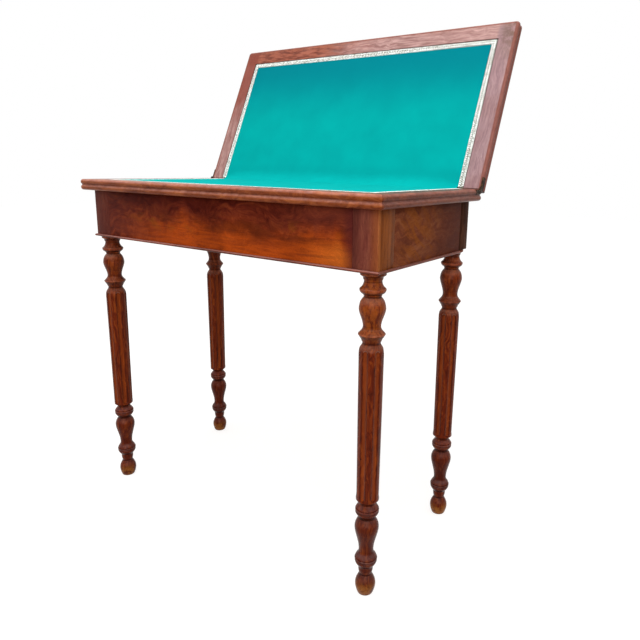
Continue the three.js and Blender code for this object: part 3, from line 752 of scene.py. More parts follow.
def lofted(rows):
    """Points and faces of a closed skin over equal closed rows of points."""
    count = len(rows[0])
    points = [p for row in rows for p in row]
    faces = []
    for i in range(len(rows) - 1):
        for j in range(count):
            k = (j + 1) % count
            faces.append((i * count + j, i * count + k, (i + 1) * count + k, (i + 1) * count + j))
    faces.append(tuple(range(count)))
    faces.append(tuple(range(len(points) - 1, len(points) - count - 1, -1)))
    return points, faces


def reed_marks(thing, profile, rows):
    """Marks the crests, grooves and ledges of a moulding: crests for rubbed wear and a painted highlight, grooves for
    dirt and painted shade, ledges for dust and a painted sheen.
    """
    across, heights = np.array(profile).T
    middle = -LEAF_THICK / 2
    top = heights > -1
    outside = across < REED + 0.5
    crest = outside * np.clip(1 - np.abs(np.abs(heights - middle) - REED) / 3, 0, 1)
    corner = (across >= REED) * top * np.clip(1 - np.abs(across - REED - 1) / 2, 0, 1)
    hollow = outside * np.clip(1 - np.abs(heights - middle) / 1.6, 0, 1)
    # The strip along the inner edge, beside the braid, is painted dark as shade
    hollow = np.where((across > BORDER - INNER_SHADED_STRIP + 0.1) & top, 1, hollow)
    rise = np.where(heights > middle, heights + REED, heights + 3 * REED) / REED
    ledge = (across < REED) * np.clip((rise - 0.05) / 0.5, 0, 1) * np.clip((1 - rise) / 0.12 + 0.4, 0, 1)
    for name, values in (("crest", np.maximum(crest, corner)), ("hollow", hollow), ("ledge", ledge)):
        mark(thing, name, np.tile(values, rows))


# How far the rows of a border's skin stand from the mitre, and what is left open there
NEAR_CORNER = [0, 0.6, 1.2, 2, 3, 4.2, 5.6, 8, 14, 26]
MITRE_GAP = 0.2


def border_rows(profile, kind):
    starts = [s + MITRE_GAP for s in NEAR_CORNER]
    if kind == "front":
        rows = [[(-LEAF_HALF + a + s, -LEAF_DEPTH + a, h) for a, h in profile] for s in starts]
        rows += [[(x, -LEAF_DEPTH + a, h) for a, h in profile] for x in np.linspace(-320, 320, 17)]
        return rows + [[(LEAF_HALF - a - s, -LEAF_DEPTH + a, h) for a, h in profile] for s in reversed(starts)]
    rows = [[(LEAF_HALF - a, -LEAF_DEPTH + a + s, h) for a, h in profile] for s in starts]
    return rows + [[(LEAF_HALF - a, y, h) for a, h in profile] for y in np.linspace(-310, 0, 9)]


def border(name, kind, side, place, veneer, material, body, replaced):
    profile = border_profile(veneer)
    rows = border_rows(profile, kind)
    points, faces = lofted(rows)
    points = rounded_corner(points, LID_CORNER_ROUND if veneer else CORNER_ROUND)
    points[:, 0] *= side
    made = new_object(name, points, faces, place)
    reed_marks(made, profile, len(rows))
    smooth_by_angle(made, recalculate=True)
    if kind == "side":
        past = 4
        inner, outer = sorted((side * (LEAF_HALF - HINGE_PLATE - SEAM), side * (LEAF_HALF + past)))
        low = (inner, -HINGE_LENGTH - SEAM, -HINGE_LOW - SEAM)
        cut_from(
            made,
            box_cutter(low, (outer, past, past), place),
            round_cutter(KNUCKLE + 0.5, inner, outer, HINGE_PLAY, HINGE_PLAY, place),
        )
        smooth_by_angle(made)
    set_timber(made, "x" if kind == "front" else "y", place)
    finish_piece(made, material, body, "border_wood", replaced)


border("lower_front_edge", "front", 1, LOWER, 0, border_wood, "carcass", "lower_leaf_front_border")
border("lower_right_edge", "side", 1, LOWER, 0, shaded_side_border_wood, "carcass", "lower_leaf_right_border")
border("lower_left_edge", "side", -1, LOWER, 0, shaded_side_border_wood, "carcass", "lower_leaf_left_border")
border("lid_top_edge", "front", 1, LID, LID_VENEER, lid_wood, "lid", "lid_top_border")
border("lid_left_edge", "side", 1, LID, LID_VENEER, lid_wood, "lid", "lid_left_border")
border("lid_right_edge", "side", -1, LID, LID_VENEER, lid_wood, "lid", "lid_right_border")
refined("lower_leaf_board", "x", bare_wood, "carcass", "inner_wood", 0.3, LOWER)
refined("lid_board", "x", bare_wood, "lid", "inner_wood", 0.3, LID)
refined("lid_veneer", "x", veneer_wood, "lid", "figured_veneer", 0.3, LID)


# Cloth: one length of baize over both leaves, eased across the hinge

CLOTH_HALF = LEAF_HALF - BORDER - BRAID_WIDTH - 3 * SEAM
CLOTH_FRONT = LEAF_DEPTH - BORDER - BRAID_WIDTH - 3 * SEAM
CLOTH_TOP = -RECESS + SEAM + CLOTH_THICK
# How far from the hinge's corner the cloth leaves the boards, at its sides and in its middle
EASE_SIDE = 9
EASE_MIDDLE = 29
EASE_RUN = 85  # in from the side, where the middle's ease is reached
BULGE = 0.06  # how far the cloth across the hinge bows in from its corner
UNEVEN = 0.12  # height of the cloth's slight waves
CLOTH_EDGE_COLUMNS = np.array([0, 4, 10, 18, 30, 45, 65, 90, 120])


def hinge_path(ease):
    """The cloth's face from the lower leaf to the lid, as (y, z) in millimetres from the hinge."""
    lower_edge = np.array([-HINGE_PLAY, -HINGE_PLAY + CLOTH_TOP])
    tilt = math.radians(90 - LID_LEAN)
    along = np.array([math.cos(tilt), math.sin(tilt)])
    up = np.array([-math.sin(tilt), math.cos(tilt)])
    lid_edge = along * HINGE_PLAY + up * (CLOTH_TOP - HINGE_PLAY)
    gap = lid_edge - lower_edge
    reach = (gap[1] * along[0] - gap[0] * along[1]) / along[1]
    corner = lower_edge + np.array([-reach, 0])
    start = np.array([corner[0] - ease, corner[1]])
    end = corner + along * ease
    far_low = np.array([lower_edge[0] - CLOTH_FRONT, lower_edge[1]])
    far_lid = lid_edge + along * CLOTH_FRONT
    path = [far_low + (start - far_low) * t for t in np.linspace(0, 1, 25)]
    pull = corner + (start + end - 2 * corner) * BULGE
    for t in np.linspace(0, 1, 15)[1:-1]:
        path.append((1 - t) ** 2 * start + 2 * t * (1 - t) * pull + t * t * end)
    path += [end + (far_lid - end) * t for t in np.linspace(0, 1, 25)]
    return np.array(path)


def slab_faces(wide, long):
    """Faces of a thin slab: two grids of points, the face's before the back's, and its four edges."""
    size = wide * long
    faces = []
    for i in range(wide - 1):
        for j in range(long - 1):
            a, b = i * long + j, (i + 1) * long + j
            faces.append((a, b, b + 1, a + 1))
            faces.append((size + a, size + a + 1, size + b + 1, size + b))
    for j in range(long - 1):
        last = (wide - 1) * long + j
        faces.append((j, j + 1, size + j + 1, size + j))
        faces.append((last + 1, last, size + last, size + last + 1))
    for i in range(wide - 1):
        a, b = i * long, (i + 1) * long
        c, d = a + long - 1, b + long - 1
        faces.append((b, a, size + a, size + b))
        faces.append((c, d, size + d, size + c))
    return faces


def baize_cloth():
    columns = np.concatenate([
        -CLOTH_HALF + CLOTH_EDGE_COLUMNS, np.linspace(-200, 200, 11), CLOTH_HALF - CLOTH_EDGE_COLUMNS[::-1]])
    wave = np.random.default_rng(7).uniform(0, 2 * math.pi, 3)
    tops = []
    for x in columns:
        inward = CLOTH_HALF - abs(x)
        grow = math.sin(min(inward / EASE_RUN, 1) * math.pi / 2) ** 0.8
        path = hinge_path(EASE_SIDE + (EASE_MIDDLE - EASE_SIDE) * grow)
        length = np.concatenate([[0], np.cumsum(np.hypot(*np.diff(path, axis=0).T))])
        tangent = np.gradient(path, axis=0)
        tangent /= np.linalg.norm(tangent, axis=1)[:, None]
        normal = np.stack([-tangent[:, 1], tangent[:, 0]], 1)
        lift = UNEVEN * (
            np.sin(x / 47 + length / 61 + wave[0]) + np.sin(x / 29 - length / 83 + wave[1])
            + 0.6 * np.sin(x / 17 + length / 23 + wave[2])
        )
        from_end = np.minimum(length, length[-1] - length)
        lift *= np.clip(np.minimum(from_end, inward) / 20, 0, 1)
        tops.append((x, path + normal * lift[:, None], normal, length))
    points, cloth = [], []
    for drop in (0, -CLOTH_THICK + 0.1):
        for x, top, normal, length in tops:
            points += [(x, y, z) for y, z in top + normal * drop]
            cloth += [(x * MM, s * MM, 0) for s in length]
    made = new_object("baize", points, slab_faces(len(tops), len(tops[0][1])), Matrix.Translation(hinge))
    mark(made, "cloth", cloth, "FLOAT_VECTOR")
    smooth_by_angle(made, 50, recalculate=True)
    made.data.materials.append(baize)
    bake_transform(made)
    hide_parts("lower_baize", "lid_baize")


baize_cloth()


# What the trees that make shapes share

def run_tree(thing, tree, **values):
    shaper = thing.modifiers.new("shape", "NODES")
    shaper.node_group = tree
    for item in tree.interface.items_tree:
        label = item.name.replace(" ", "_")
        if item.in_out == "INPUT" and label in values:
            shaper[item.identifier] = values[label]
    return settle(thing)


def moved(geometry, **change):
    return put(geometry.tree, "GeometryNodeTransform", {"Geometry": geometry, **change})


def joined_shapes(tree, *shapes):
    unit = tree.nodes.new("GeometryNodeJoinGeometry")
    for shape in shapes:
        feed(unit.inputs[0], shape)
    return Wire(unit.outputs[0])


def laid_on(points, shape, turn):
    return put(points.tree, "GeometryNodeInstanceOnPoints", {"Points": points, "Instance": shape, "Rotation": turn})


def close_tree(tree, shape, material, result, smooth=False):
    shape = put(tree, "GeometryNodeRealizeInstances", {"Geometry": shape})
    if smooth:
        shape = put(tree, "GeometryNodeSetShadeSmooth", {"Geometry": shape})
    feed(result["Geometry"], put(tree, "GeometryNodeSetMaterial", {"Geometry": shape, "Material": material}))
    return tree


# Braid: two rows of slanting stitches between edge cords, on a tape round three sides

def braid_tree():
    tree, given, result = group(
        "Braid stitches",
        {"Geometry": "Geometry", "Pitch": 0.004, "Stitch Length": 0.006, "Stitch Width": 0.0026,
         "Stitch Height": 0.0012, "Row Offset": 0.0024, "Slant": 0.7, "Edge Offset": 0.0052,
         "Material": "Material"},
        ["Geometry"], "GeometryNodeTree")
    path = put(tree, "GeometryNodeMeshToCurve", {"Mesh": given["Geometry"]})
    steps = put(tree, "GeometryNodeCurveToPoints", {"Curve": path, "Length": given["Pitch"]}, None, mode="LENGTH")
    facing = put(tree, "FunctionNodeAlignRotationToVector", {"Vector": steps["Tangent"]}, axis="X", pivot_axis="Z")
    ball = put(tree, "GeometryNodeMeshUVSphere", {"Segments": 8, "Rings": 5, "Radius": 0.5}, "Mesh")
    stitch = joined(tree, X=given["Stitch Length"], Y=given["Stitch Width"], Z=given["Stitch Height"])
    cord = joined(tree, X=given["Pitch"] * 1.5, Y=given["Stitch Width"] * 0.6, Z=given["Stitch Height"])
    shapes = []
    for side in (1, -1):
        turn = joined(tree, Z=given["Slant"] * side)
        row = joined(tree, Y=given["Row Offset"] * side)
        edge = joined(tree, Y=given["Edge Offset"] * side)
        shapes += [moved(ball, Scale=stitch, Rotation=turn, Translation=row), moved(ball, Scale=cord, Translation=edge)]
    stitches = laid_on(steps["Points"], joined_shapes(tree, *shapes), facing)
    return close_tree(tree, stitches, given["Material"], result, smooth=True)


BRAID = braid_tree()
TAPE_LOW = -RECESS + SEAM
TAPE_THICK = 0.6
STITCH_RISE = 0.2  # of the stitches' middles over the tape
BRAID_END = -5


def braid(name, place, body, replaced):
    x1 = LEAF_HALF - BORDER - 2 * SEAM
    y1 = -(LEAF_DEPTH - BORDER - 2 * SEAM)
    middle_x, middle_y = x1 - BRAID_WIDTH / 2, y1 + BRAID_WIDTH / 2
    level = TAPE_LOW + TAPE_THICK + STITCH_RISE
    path = [(-middle_x, BRAID_END, level), (-middle_x, middle_y, level), (middle_x, middle_y, level),
            (middle_x, BRAID_END, level)]
    stitches = new_object(name, path, [], edges=[(0, 1), (1, 2), (2, 3)])
    run_tree(stitches, BRAID, Pitch=4.6 * MM, Stitch_Length=6.6 * MM, Stitch_Width=3.2 * MM,
             Stitch_Height=2.0 * MM, Row_Offset=2.3 * MM, Slant=0.75, Edge_Offset=5.1 * MM, Material=braid_cloth)
    x0, y0 = x1 - BRAID_WIDTH, y1 + BRAID_WIDTH
    outline = [(-x1, 0), (-x1, y1), (x1, y1), (x1, 0), (x0, 0), (x0, y0), (-x0, y0), (-x0, 0)]
    points = [(x, y, z) for z in (TAPE_LOW, TAPE_LOW + TAPE_THICK) for x, y in outline]
    quads = [(0, 1, 6, 7), (1, 2, 5, 6), (2, 3, 4, 5)]
    faces = [q[::-1] for q in quads] + [tuple(i + 8 for i in q) for q in quads]
    faces += [(i, (i + 1) % 8, (i + 1) % 8 + 8, i + 8) for i in range(8)]
    tape = smooth_by_angle(new_object("tape", points, faces), recalculate=True)
    bm = bmesh.new()
    for thing, value in ((stitches, 0), (tape, 1)):
        mark(thing, "tape", np.full(len(thing.data.vertices), value))
        bm.from_mesh(thing.data)
    bm.to_mesh(stitches.data)
    bm.free()
    remove(tape)
    stitches.data.transform(place)
    finish_piece(stitches, braid_cloth, body, "braid", replaced)


braid("lower_braid_woven", LOWER, "carcass", "lower_braid")
braid("lid_braid_woven", LID, "lid", "lid_braid")


# Turned legs

# Radius and height of the turned outline, one list for each run between two sharp corners
LEG_RUNS = [
    [(0, 0), (12, 0.1), (14, 0.6), (14.8, 1.6)],
    [(14.8, 1.6), (16.5, 6), (18.1, 11.7), (18.9, 17), (18.9, 21.3), (18, 26.2), (16.1, 31), (13.9, 35.3),
     (12.2, 38.3)],
    [(12.2, 38.3), (11.5, 39.5), (11.5, 40.7), (12.1, 41.9)],
    [(12.1, 41.9), (13.1, 46.4), (13.6, 50.9), (13.7, 54.9)],
    [(13.7, 54.9), (14.3, 56.5), (15.5, 58.3)],
    [(15.5, 58.3), (18, 61.5), (19.7, 64.9), (20.5, 67.9), (19.9, 69.5)],
    [(19.9, 69.5), (19.8, 70.3)],
    [(19.8, 70.3), (20.9, 72.1), (20.7, 73.6)],
    [(20.7, 73.6), (19.3, 74.4)],
    [(19.3, 74.4), (20, 75.2)],
    [(20, 75.2), (18.3, 78.9), (16.2, 81.8), (14.7, 84.2)],
    [(14.7, 84.2), (13.8, 87.3), (13.6, 91.3), (13.9, 95.7), (14.8, 102.7), (16.7, 110.7), (19.1, 119.9),
     (21.1, 128), (22.1, 135.1), (21.8, 141.3), (20, 146.9), (17.8, 151.3)],
    [(17.8, 151.3), (15.8, 154), (14.9, 155.8), (15.1, 157.4)],
    [(15.1, 157.4), (17.6, 160.4), (20.2, 164.2), (21.5, 167.4), (20.9, 169.2)],
    [(20.9, 169.2), (20.8, 170)],
    [(20.8, 170), (21.7, 171.8), (21.3, 174.2)],
    [(21.3, 174.2), (19.8, 175)],
    [(19.8, 175), (20.5, 175.8)],
    [(20.5, 175.8), (18.6, 178.7), (16.4, 181.3)],
    [(16.4, 181.3), (15, 183), (14.7, 184.8), (15, 186.4)],
    [(15, 186.4), (15.6, 187.6)],
    [(15.6, 187.6), (20.4, 191.8)],
    [(20.4, 191.8), (20.9, 192.1), (21, 192.5)],
    "shaft",
    [(22.4, 459.1), (22.5, 463.2), (22.3, 468.2), (21.6, 472.8), (19.9, 477), (17.9, 480.2), (16.7, 482)],
    [(16.7, 482), (16, 483.8), (15.8, 485.8), (16.1, 487.6)],
    [(16.1, 487.6), (17.1, 488.2), (17.4, 489.6)],
    [(17.4, 489.6), (19, 492.9), (19.6, 494.3)],
    [(19.6, 494.3), (20.3, 494.7), (22, 497.5), (23.4, 499.7), (23.7, 500.5), (23.4, 501.5)],
    [(23.4, 501.5), (20.8, 504.2), (18.5, 506.8), (16.8, 509.3), (16.1, 511.1)],
    [(16.1, 511.1), (15.7, 513.1), (15.7, 516), (16.4, 520.5), (17.9, 525.9), (20, 531.8), (22, 537.8),
     (23.1, 543.3), (23, 547), (22.1, 552.2), (20.5, 557.1), (18.2, 560.8), (16.4, 563.1)],
    [(16.4, 563.1), (15.5, 564.1), (15, 565.5), (15.1, 566.8)],
    [(15.1, 566.8), (15.9, 567.2), (16.1, 568.8), (17.1, 569.4)],
    [(17.1, 569.4), (19.8, 571.3), (21.9, 573.8), (22.7, 576.3), (22.8, 578.1), (22.1, 579.2)],
    [(22.1, 579.2), (19.6, 581.4), (17.8, 583.8), (16.6, 586.3), (15.9, 588.7)],
    [(15.9, 588.7), (15.5, 590.5), (15.6, 592.9), (16.1, 594.2)],
    [(16.1, 594.2), (16.7, 594.5), (17, 596)],
    [(17, 596), (17.7, 598.4), (19.6, 600.4), (21.6, 601.4)],
    [(21.6, 601.4), (22.2, 602.4), (22.2, 605.4), (21.8, 606.1)],
]
# Where scene-only marks and limits lie along a leg, as heights
RING_LINES = (74.4, 175)
RING_FLANKS = ((501.5, 509), (579.6, 588))
BALL_TOP = 40
LOW_VASE_SWELL = (130, 157)
COLLAR_START = 595
LIFT_RUN = (500, 540)  # where a leg with a higher seat is stretched
# Points round a leg: across each fillet between two flutes, and across each flute
FILLET_STEPS = 3
FLUTE_STEPS = 12

SHAFT_TAPER = (SHAFT_HEAD[0] - SHAFT_FOOT[0]) / (SHAFT_HEAD[1] - SHAFT_FOOT[1])
FLUTE_WIDTH = FLUTE_SHARE * math.pi * (SHAFT_FOOT[0] + SHAFT_HEAD[0]) / FLUTES
FLUTE_LOW = SHAFT_FOOT[1] + FLUTE_FOOT_MARGIN
FLUTE_HIGH = SHAFT_HEAD[1] + FLUTE_HEAD_RUN


def catmull(points, steps):
    """A smooth curve through points, or the plain line between two."""
    points = np.array(points, float)
    if len(points) == 2:
        return list(points)
    ends = np.vstack([2 * points[0] - points[1], points, 2 * points[-1] - points[-2]])
    made = [points[0]]
    for i in range(1, len(ends) - 2):
        p0, p1, p2, p3 = ends[i - 1:i + 3]
        for t in np.linspace(0, 1, steps + 1)[1:]:
            made.append(0.5 * (2 * p1 + (p2 - p0) * t + (2 * p0 - 5 * p1 + 4 * p2 - p3) * t * t
                               + (3 * p1 - p0 - 3 * p2 + p3) * t ** 3))
    return made


def leg_outline(seat):
    """The whole outline, as (radius, height); the flutes' ends get rings close together."""
    half = FLUTE_WIDTH / 2
    line = []
    for run in LEG_RUNS:
        if run == "shaft":
            stations = np.concatenate([
                [SHAFT_FOOT[1]], FLUTE_LOW + half * np.linspace(-0.12, 1.15, 15),
                np.linspace(FLUTE_LOW + 2.2 * half, SHAFT_HEAD[1], 12)])
            part = [(SHAFT_FOOT[0] + SHAFT_TAPER * (z - SHAFT_FOOT[1]), z) for z in stations]
        else:
            part = catmull(run, 5 if run[0] == SHAFT_HEAD else 3)
        line += [tuple(p) for p in (part if not line else part[1:])]
    line = [(r, z + np.interp(z, LIFT_RUN, (0, seat - SEAT_FRONT))) for r, z in line]
    top = seat + LEG_TENON[1]
    return line + [(LEG_TENON[0], seat - SEAM), (LEG_TENON[0], top), (0, top)]


def fluting_tree():
    """Cuts round-ended flutes into a turned shaft: each is the hollow that a ball leaves as it runs along."""
    tree, given, result = group(
        "Fluted shaft",
        {"Geometry": "Geometry", "Flutes": 6, "Ball Radius": 0.01, "Depth": 0.003, "Foot": 0.2, "Head": 0.46,
         "Shaft Radius": 0.021, "Taper": 0.005, "Material": "Material"},
        ["Geometry"], "GeometryNodeTree")
    foot, ball = given["Foot"], given["Ball Radius"]
    x, y, z = split(put(tree, "GeometryNodeInputPosition"))
    flat = joined(tree, X=x, Y=y)
    radius = vector_calc("LENGTH", flat)
    sector = 2 * math.pi / given["Flutes"]
    from_middle = calc("WRAP", calc("ARCTAN2", y, x), sector, 0) - sector * 0.5
    across = radius * calc("SINE", from_middle)
    past = calc("MAXIMUM", calc("MAXIMUM", z - given["Head"], foot - z), 0)
    square = ball * ball - across * across - past * past
    cut = calc("SQRT", calc("MAXIMUM", square, 0)) - (ball - given["Depth"])
    shaft_face = (z - foot) * given["Taper"] + given["Shaft Radius"]
    sunk = calc("MAXIMUM", radius - shaft_face + cut, 0) * calc("GREATER_THAN", cut, 0)
    marked = put(tree, "GeometryNodeStoreNamedAttribute", {
        "Geometry": given["Geometry"], "Name": "flute", "Value": sunk / given["Depth"]},
        data_type="FLOAT", domain="POINT")
    inward = scaled(vector_calc("NORMALIZE", flat), sunk * -1)
    turned = put(tree, "GeometryNodeSetPosition", {"Geometry": marked, "Offset": inward})
    return close_tree(tree, turned, given["Material"], result)


FLUTING = fluting_tree()


def leg_marks(line):
    """Crest, hollow and ledge along the outline, from how far each point stands out of its
    neighbourhood and which way it faces."""
    radii, heights = np.array(line).T
    crest, hollow = np.zeros(len(line)), np.zeros(len(line))
    for i, (radius, height) in enumerate(line):
        crest[i] = np.clip((radius - radii[np.abs(heights - height) < 9].mean()) / 2.2, 0, 1)
        above = (heights >= height) & (heights < height + 4)
        below = (heights <= height) & (heights > height - 4)
        sunk = min(radii[above].max(), radii[below].max()) - radius
        hollow[i] = np.clip((sunk - 0.1) / 0.9, 0, 1)
    shaft = (heights > SHAFT_FOOT[1]) & (heights < FLUTE_HIGH)
    crest[shaft], hollow[shaft] = 0, 0
    steep = np.maximum(np.hypot(np.gradient(radii), np.gradient(heights)), 1e-6)
    fall = -np.gradient(radii) / steep
    # Surfaces that face down are painted dark as shade
    facing_down = np.clip((-fall - 0.3) / 0.4, 0, 0.75) * (heights > 50)
    hollow = np.maximum(hollow, facing_down)
    # Upward-facing ledges take dust and a painted sheen
    ledge = np.clip((fall - 0.2) / 0.4, 0, 1)
    apex = np.clip(1 - 1.6 * np.maximum(np.abs(fall) - 0.15, 0), 0, 1)
    crest *= np.where(heights > SHAFT_HEAD[1], apex, 0.25)
    hollow[heights > FLUTE_HIGH] = np.minimum(hollow[heights > FLUTE_HIGH], 0.75)
    hollow[heights > COLLAR_START] = 0.6
    for low, high in RING_FLANKS:
        ledge[(heights > low) & (heights < high)] *= 0.35
    swell = (heights > LOW_VASE_SWELL[0]) & (heights < LOW_VASE_SWELL[1])
    ledge[(heights < BALL_TOP) | swell] *= 0.6
    # At each ring line the band just below is painted pale as a highlight, and the line dark as dirt and shade
    for z in RING_LINES:
        ledge[(heights > z - 5.5) & (heights < z - 0.7)] = 1
        ledge[heights == z] = 0
        hollow[heights == z] = 1
        crest[np.abs(heights - z) < 8] = 0
    return {"crest": crest, "hollow": hollow, "ledge": ledge}


def turned_leg(node, body, seat, turn):
    low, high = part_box(node)
    axis = (low + high) / 2
    line = leg_outline(seat)
    sector = 2 * math.pi / FLUTES
    fillet = sector * (1 - FLUTE_SHARE) / 2
    turns = np.concatenate([
        i * sector + np.concatenate([
            np.linspace(-fillet, fillet, FILLET_STEPS + 1)[:-1],
            np.linspace(fillet, sector - fillet, FLUTE_STEPS + 1)[:-1]])
        for i in range(FLUTES)])
    count, rings = len(turns), len(line) - 2
    points = [(0, 0, 0)]
    points += [(r * math.cos(t), r * math.sin(t), z) for r, z in line[1:-1] for t in turns]
    last = len(points)
    points.append((0, 0, line[-1][1]))
    faces = []
    for j in range(count):
        k = (j + 1) % count
        faces.append((0, 1 + k, 1 + j))
        faces.append((last, last - count + j, last - count + k))
        for i in range(rings - 1):
            a = 1 + i * count
            faces.append((a + j, a + k, a + count + k, a + count + j))
    made = new_object(node + "_turned", points, faces)
    for name, values in leg_marks(line).items():
        mark(made, name, np.concatenate([[0], np.repeat(values[1:-1], count), [0]]))
    ball = (FLUTE_WIDTH ** 2 + 4 * FLUTE_DEPTH ** 2) / (8 * FLUTE_DEPTH)
    foot = FLUTE_LOW + FLUTE_WIDTH / 2
    run_tree(made, FLUTING, Flutes=float(FLUTES), Ball_Radius=ball * MM, Depth=FLUTE_DEPTH * MM,
             Foot=foot * MM, Head=(FLUTE_HIGH - FLUTE_WIDTH / 2) * MM,
             Shaft_Radius=(SHAFT_FOOT[0] + SHAFT_TAPER * (foot - SHAFT_FOOT[1])) * MM, Taper=SHAFT_TAPER,
             Material=leg_wood)
    stand = Matrix.Translation((axis.x, axis.y, 0))
    made.data.transform(stand @ Matrix.Rotation(math.radians(turn), 4, "Z"))
    smooth_by_angle(made, 30)
    set_timber(made, "z", stand)
    finish_piece(made, leg_wood, body, "turned_wood", node)


turned_leg("leg_front_right", "carcass", SEAT_FRONT, 3.5)
turned_leg("leg_front_left", "carcass", SEAT_FRONT, 7.5)
turned_leg("leg_back_right", "back_frame", SEAT_BACK, -5)
turned_leg("leg_back_left", "back_frame", SEAT_BACK, 1)


# Frieze box and sliding frame

def inside(node, along, ease=0.8, body="carcass"):
    refined(node, along, bare_wood, body, "inner_wood", ease)


refined("front_frieze", "x", frieze_wood, "carcass", "figured_veneer", 0.3)
refined("right_frieze", "y", side_wood, "carcass", "figured_veneer", 0.3)
refined("left_frieze", "y", side_wood, "carcass", "figured_veneer", 0.3)
for side in ("right", "left"):
    refined(f"post_front_{side}", "z", dark_wood, "carcass", "dark_wood", 0.7)
    refined(f"back_block_{side}", "z", block_wood, "back_frame", "dark_wood", 0.7)
    inside(f"slide_arm_{side}", "y", 1, "back_frame")
    inside(f"slide_guide_upper_{side}", "y")
    inside(f"slide_guide_lower_{side}", "y")
    inside(f"glue_block_front_{side}", "x")
    inside(f"glue_block_back_{side}", "x")
    inside(f"glue_block_{side}", "y")
    refined(f"base_bead_{side}", "y", bead_wood, "carcass", "bead_wood", 0, angle=50)
    refined(f"lower_hinge_plate_{side}", "y", brass, "carcass", "brass", 0.25)
    refined(f"lid_hinge_plate_{side}", "y", brass, "lid", "brass", 0.25)
    refined(f"hinge_pin_{side}", "x", brass, "lid", "brass", 0.2)
refined("base_bead_front", "x", bead_wood, "carcass", "bead_wood", 0, angle=50)
refined("back_frame_rail", "x", block_wood, "back_frame", "dark_wood", 0.6)
inside("slide_front_bar", "x", 1, "back_frame")
inside("inner_back_rail", "x")
inside("top_bearer", "y")


# Slotted countersunk screws of the hinges

def screw_tree():
    tree, given, result = group(
        "Slotted screws",
        {"Geometry": "Geometry", "Head Radius": 0.0022, "Shank Radius": 0.0011, "Head Depth": 0.0014,
         "Length": 0.012, "Slot Width": 0.0006, "Material": "Material"},
        ["Geometry"], "GeometryNodeTree")
    head_depth, length = given["Head Depth"], given["Length"]
    head = put(tree, "GeometryNodeMeshCone", {
        "Vertices": 32, "Radius Top": given["Head Radius"], "Radius Bottom": given["Shank Radius"],
        "Depth": head_depth}, "Mesh")
    head = moved(head, Translation=joined(tree, Z=head_depth * -1))
    bar = joined(tree, X=given["Head Radius"] * 3, Y=given["Slot Width"], Z=head_depth)
    slot = put(tree, "GeometryNodeMeshCube", {"Size": bar}, "Mesh")
    slotted = put(tree, "GeometryNodeMeshBoolean", {"Mesh 1": head, "Mesh 2": slot}, operation="DIFFERENCE")
    shank = put(tree, "GeometryNodeMeshCylinder", {
        "Vertices": 16, "Radius": given["Shank Radius"], "Depth": length - head_depth}, "Mesh")
    shank = moved(shank, Translation=joined(tree, Z=(length + head_depth) * -0.5))
    dots = put(tree, "GeometryNodeMeshToPoints", {"Mesh": given["Geometry"]})
    outward = joined(tree, X=calc("SIGN", split(put(tree, "GeometryNodeInputPosition"))[0]))
    turn = put(tree, "FunctionNodeAlignRotationToVector", {"Vector": outward}, axis="Z")
    laid = laid_on(dots, joined_shapes(tree, slotted, shank), turn)
    return close_tree(tree, laid, given["Material"], result)


SCREWS = screw_tree()


def hinge_screws(name, place, body, prefix):
    points = [(side * LEAF_HALF, y, SCREW_HEIGHT) for side in (1, -1) for y in SCREW_PLACES]
    made = new_object(name, points, [])
    run_tree(made, SCREWS, Head_Radius=2.2 * MM, Shank_Radius=1.1 * MM, Head_Depth=1.4 * MM,
             Length=12 * MM, Slot_Width=0.7 * MM, Material=brass)
    made.data.transform(place)
    smooth_by_angle(made)
    names = [f"{prefix}_hinge_screw_{side}_{i}" for side in ("right", "left") for i in (1, 2)]
    finish_piece(made, brass, body, "brass", *names)


hinge_screws("lower_slotted_screws", LOWER, "carcass", "lower")
hinge_screws("lid_slotted_screws", LID, "lid", "lid")


# Floor, light and camera

SKY_LOW = 0.12
SKY_HIGH = 1.0
FLOOR_GLOW = 0.8
FLOOR_HALF = 9000
FLOOR_GREY = (0.32, 0.3, 0.28, 1)
WHITE = (1, 1, 1, 1)


def plainly_seen(tree):
    """One for the rays that show the white surround: straight, mirrored or through glass."""
    path = put(tree, "ShaderNodeLightPath", give=None)
    seen = calc("MAXIMUM", path["Is Camera Ray"], path["Is Glossy Ray"])
    return calc("MAXIMUM", seen, path["Is Transmission Ray"])


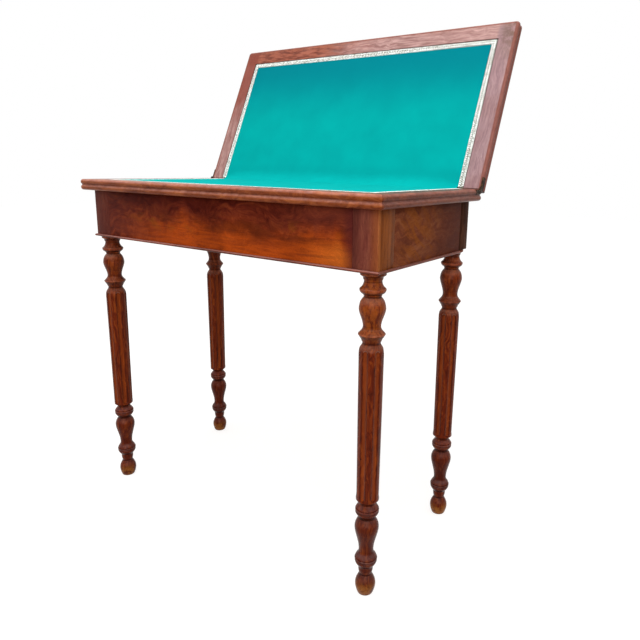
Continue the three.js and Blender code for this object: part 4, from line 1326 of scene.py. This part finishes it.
def studio():
    """A white background, lit as if under an open sky: bright overhead, dim near the ground."""
    scene = bpy.context.scene
    scene.view_settings.view_transform = "Standard"
    scene.world = bpy.data.worlds.new("studio")
    scene.world.use_nodes = True
    tree = scene.world.node_tree
    tree.nodes.clear()
    height = split(put(tree, "ShaderNodeTexCoord", give="Generated"))[2]
    strength = calc("MAXIMUM", ranged(height, -0.1, 0.9, SKY_LOW, SKY_HIGH), plainly_seen(tree))
    back = put(tree, "ShaderNodeBackground", {"Color": WHITE, "Strength": strength})
    feed(tree.nodes.new("ShaderNodeOutputWorld").inputs["Surface"], back)
    corners = [(-FLOOR_HALF, -FLOOR_HALF, 0), (FLOOR_HALF, -FLOOR_HALF, 0), (FLOOR_HALF, FLOOR_HALF, 0),
               (-FLOOR_HALF, FLOOR_HALF, 0)]
    floor = new_object("floor", corners, [(0, 1, 2, 3)])
    material, tree, shader = new_material(
        "pale floor", Base_Color=FLOOR_GREY, Roughness=0.9, Specular_IOR_Level=0, Emission_Color=WHITE)
    feed(shader.inputs["Emission Strength"], plainly_seen(tree) * FLOOR_GLOW)
    floor.data.materials.append(material)


def area_light(name, place, aim, size, power):
    light = bpy.data.lights.new(name, "AREA")
    light.shape = "RECTANGLE"
    light.size, light.size_y = size
    light.energy = power
    made = add_object(name, light)
    made.location = place
    made.rotation_mode = "QUATERNION"
    made.rotation_quaternion = (Vector(aim) - Vector(place)).to_track_quat("-Z", "Y")


# The camera, fitted to the photograph: place in metres, turns in degrees, lens in pixels of the frame
CAMERA_PLACE = Vector((0.849051, -1.025474, 0.776136))
CAMERA_TURNS = (33.436, -12.215, 1.222)
FOCAL, CENTRE_X, CENTRE_Y, FRAME = 570.37, 358.54, 289.557, 640
SENSOR = 36


def camera():
    yaw, pitch, roll = (math.radians(a) for a in CAMERA_TURNS)
    forward = Vector((-math.sin(yaw) * math.cos(pitch), math.cos(yaw) * math.cos(pitch), math.sin(pitch)))
    right = forward.cross(Vector((0, 0, 1))).normalized()
    up = right.cross(forward)
    across = right * math.cos(roll) + up * math.sin(roll)
    upright = -right * math.sin(roll) + up * math.cos(roll)
    data = bpy.data.cameras.new("camera")
    data.sensor_width = SENSOR
    data.lens = FOCAL / FRAME * SENSOR
    data.shift_x = (FRAME / 2 - CENTRE_X) / FRAME
    data.shift_y = (CENTRE_Y - FRAME / 2) / FRAME
    data.clip_start, data.clip_end = 0.05, 60
    made = add_object("camera", data)
    turn = Matrix((across, upright, -forward)).transposed()
    made.matrix_world = Matrix.Translation(CAMERA_PLACE) @ turn.to_4x4()
    bpy.context.scene.camera = made


studio()
area_light("sky", (0.1, -0.4, 3.2), (0, 0, 0.6), (1.5, 1.1), 55)
area_light("front fill", (1.6, -2.6, 1.3), (0, 0, 0.5), (2.4, 1.6), 42)
camera()
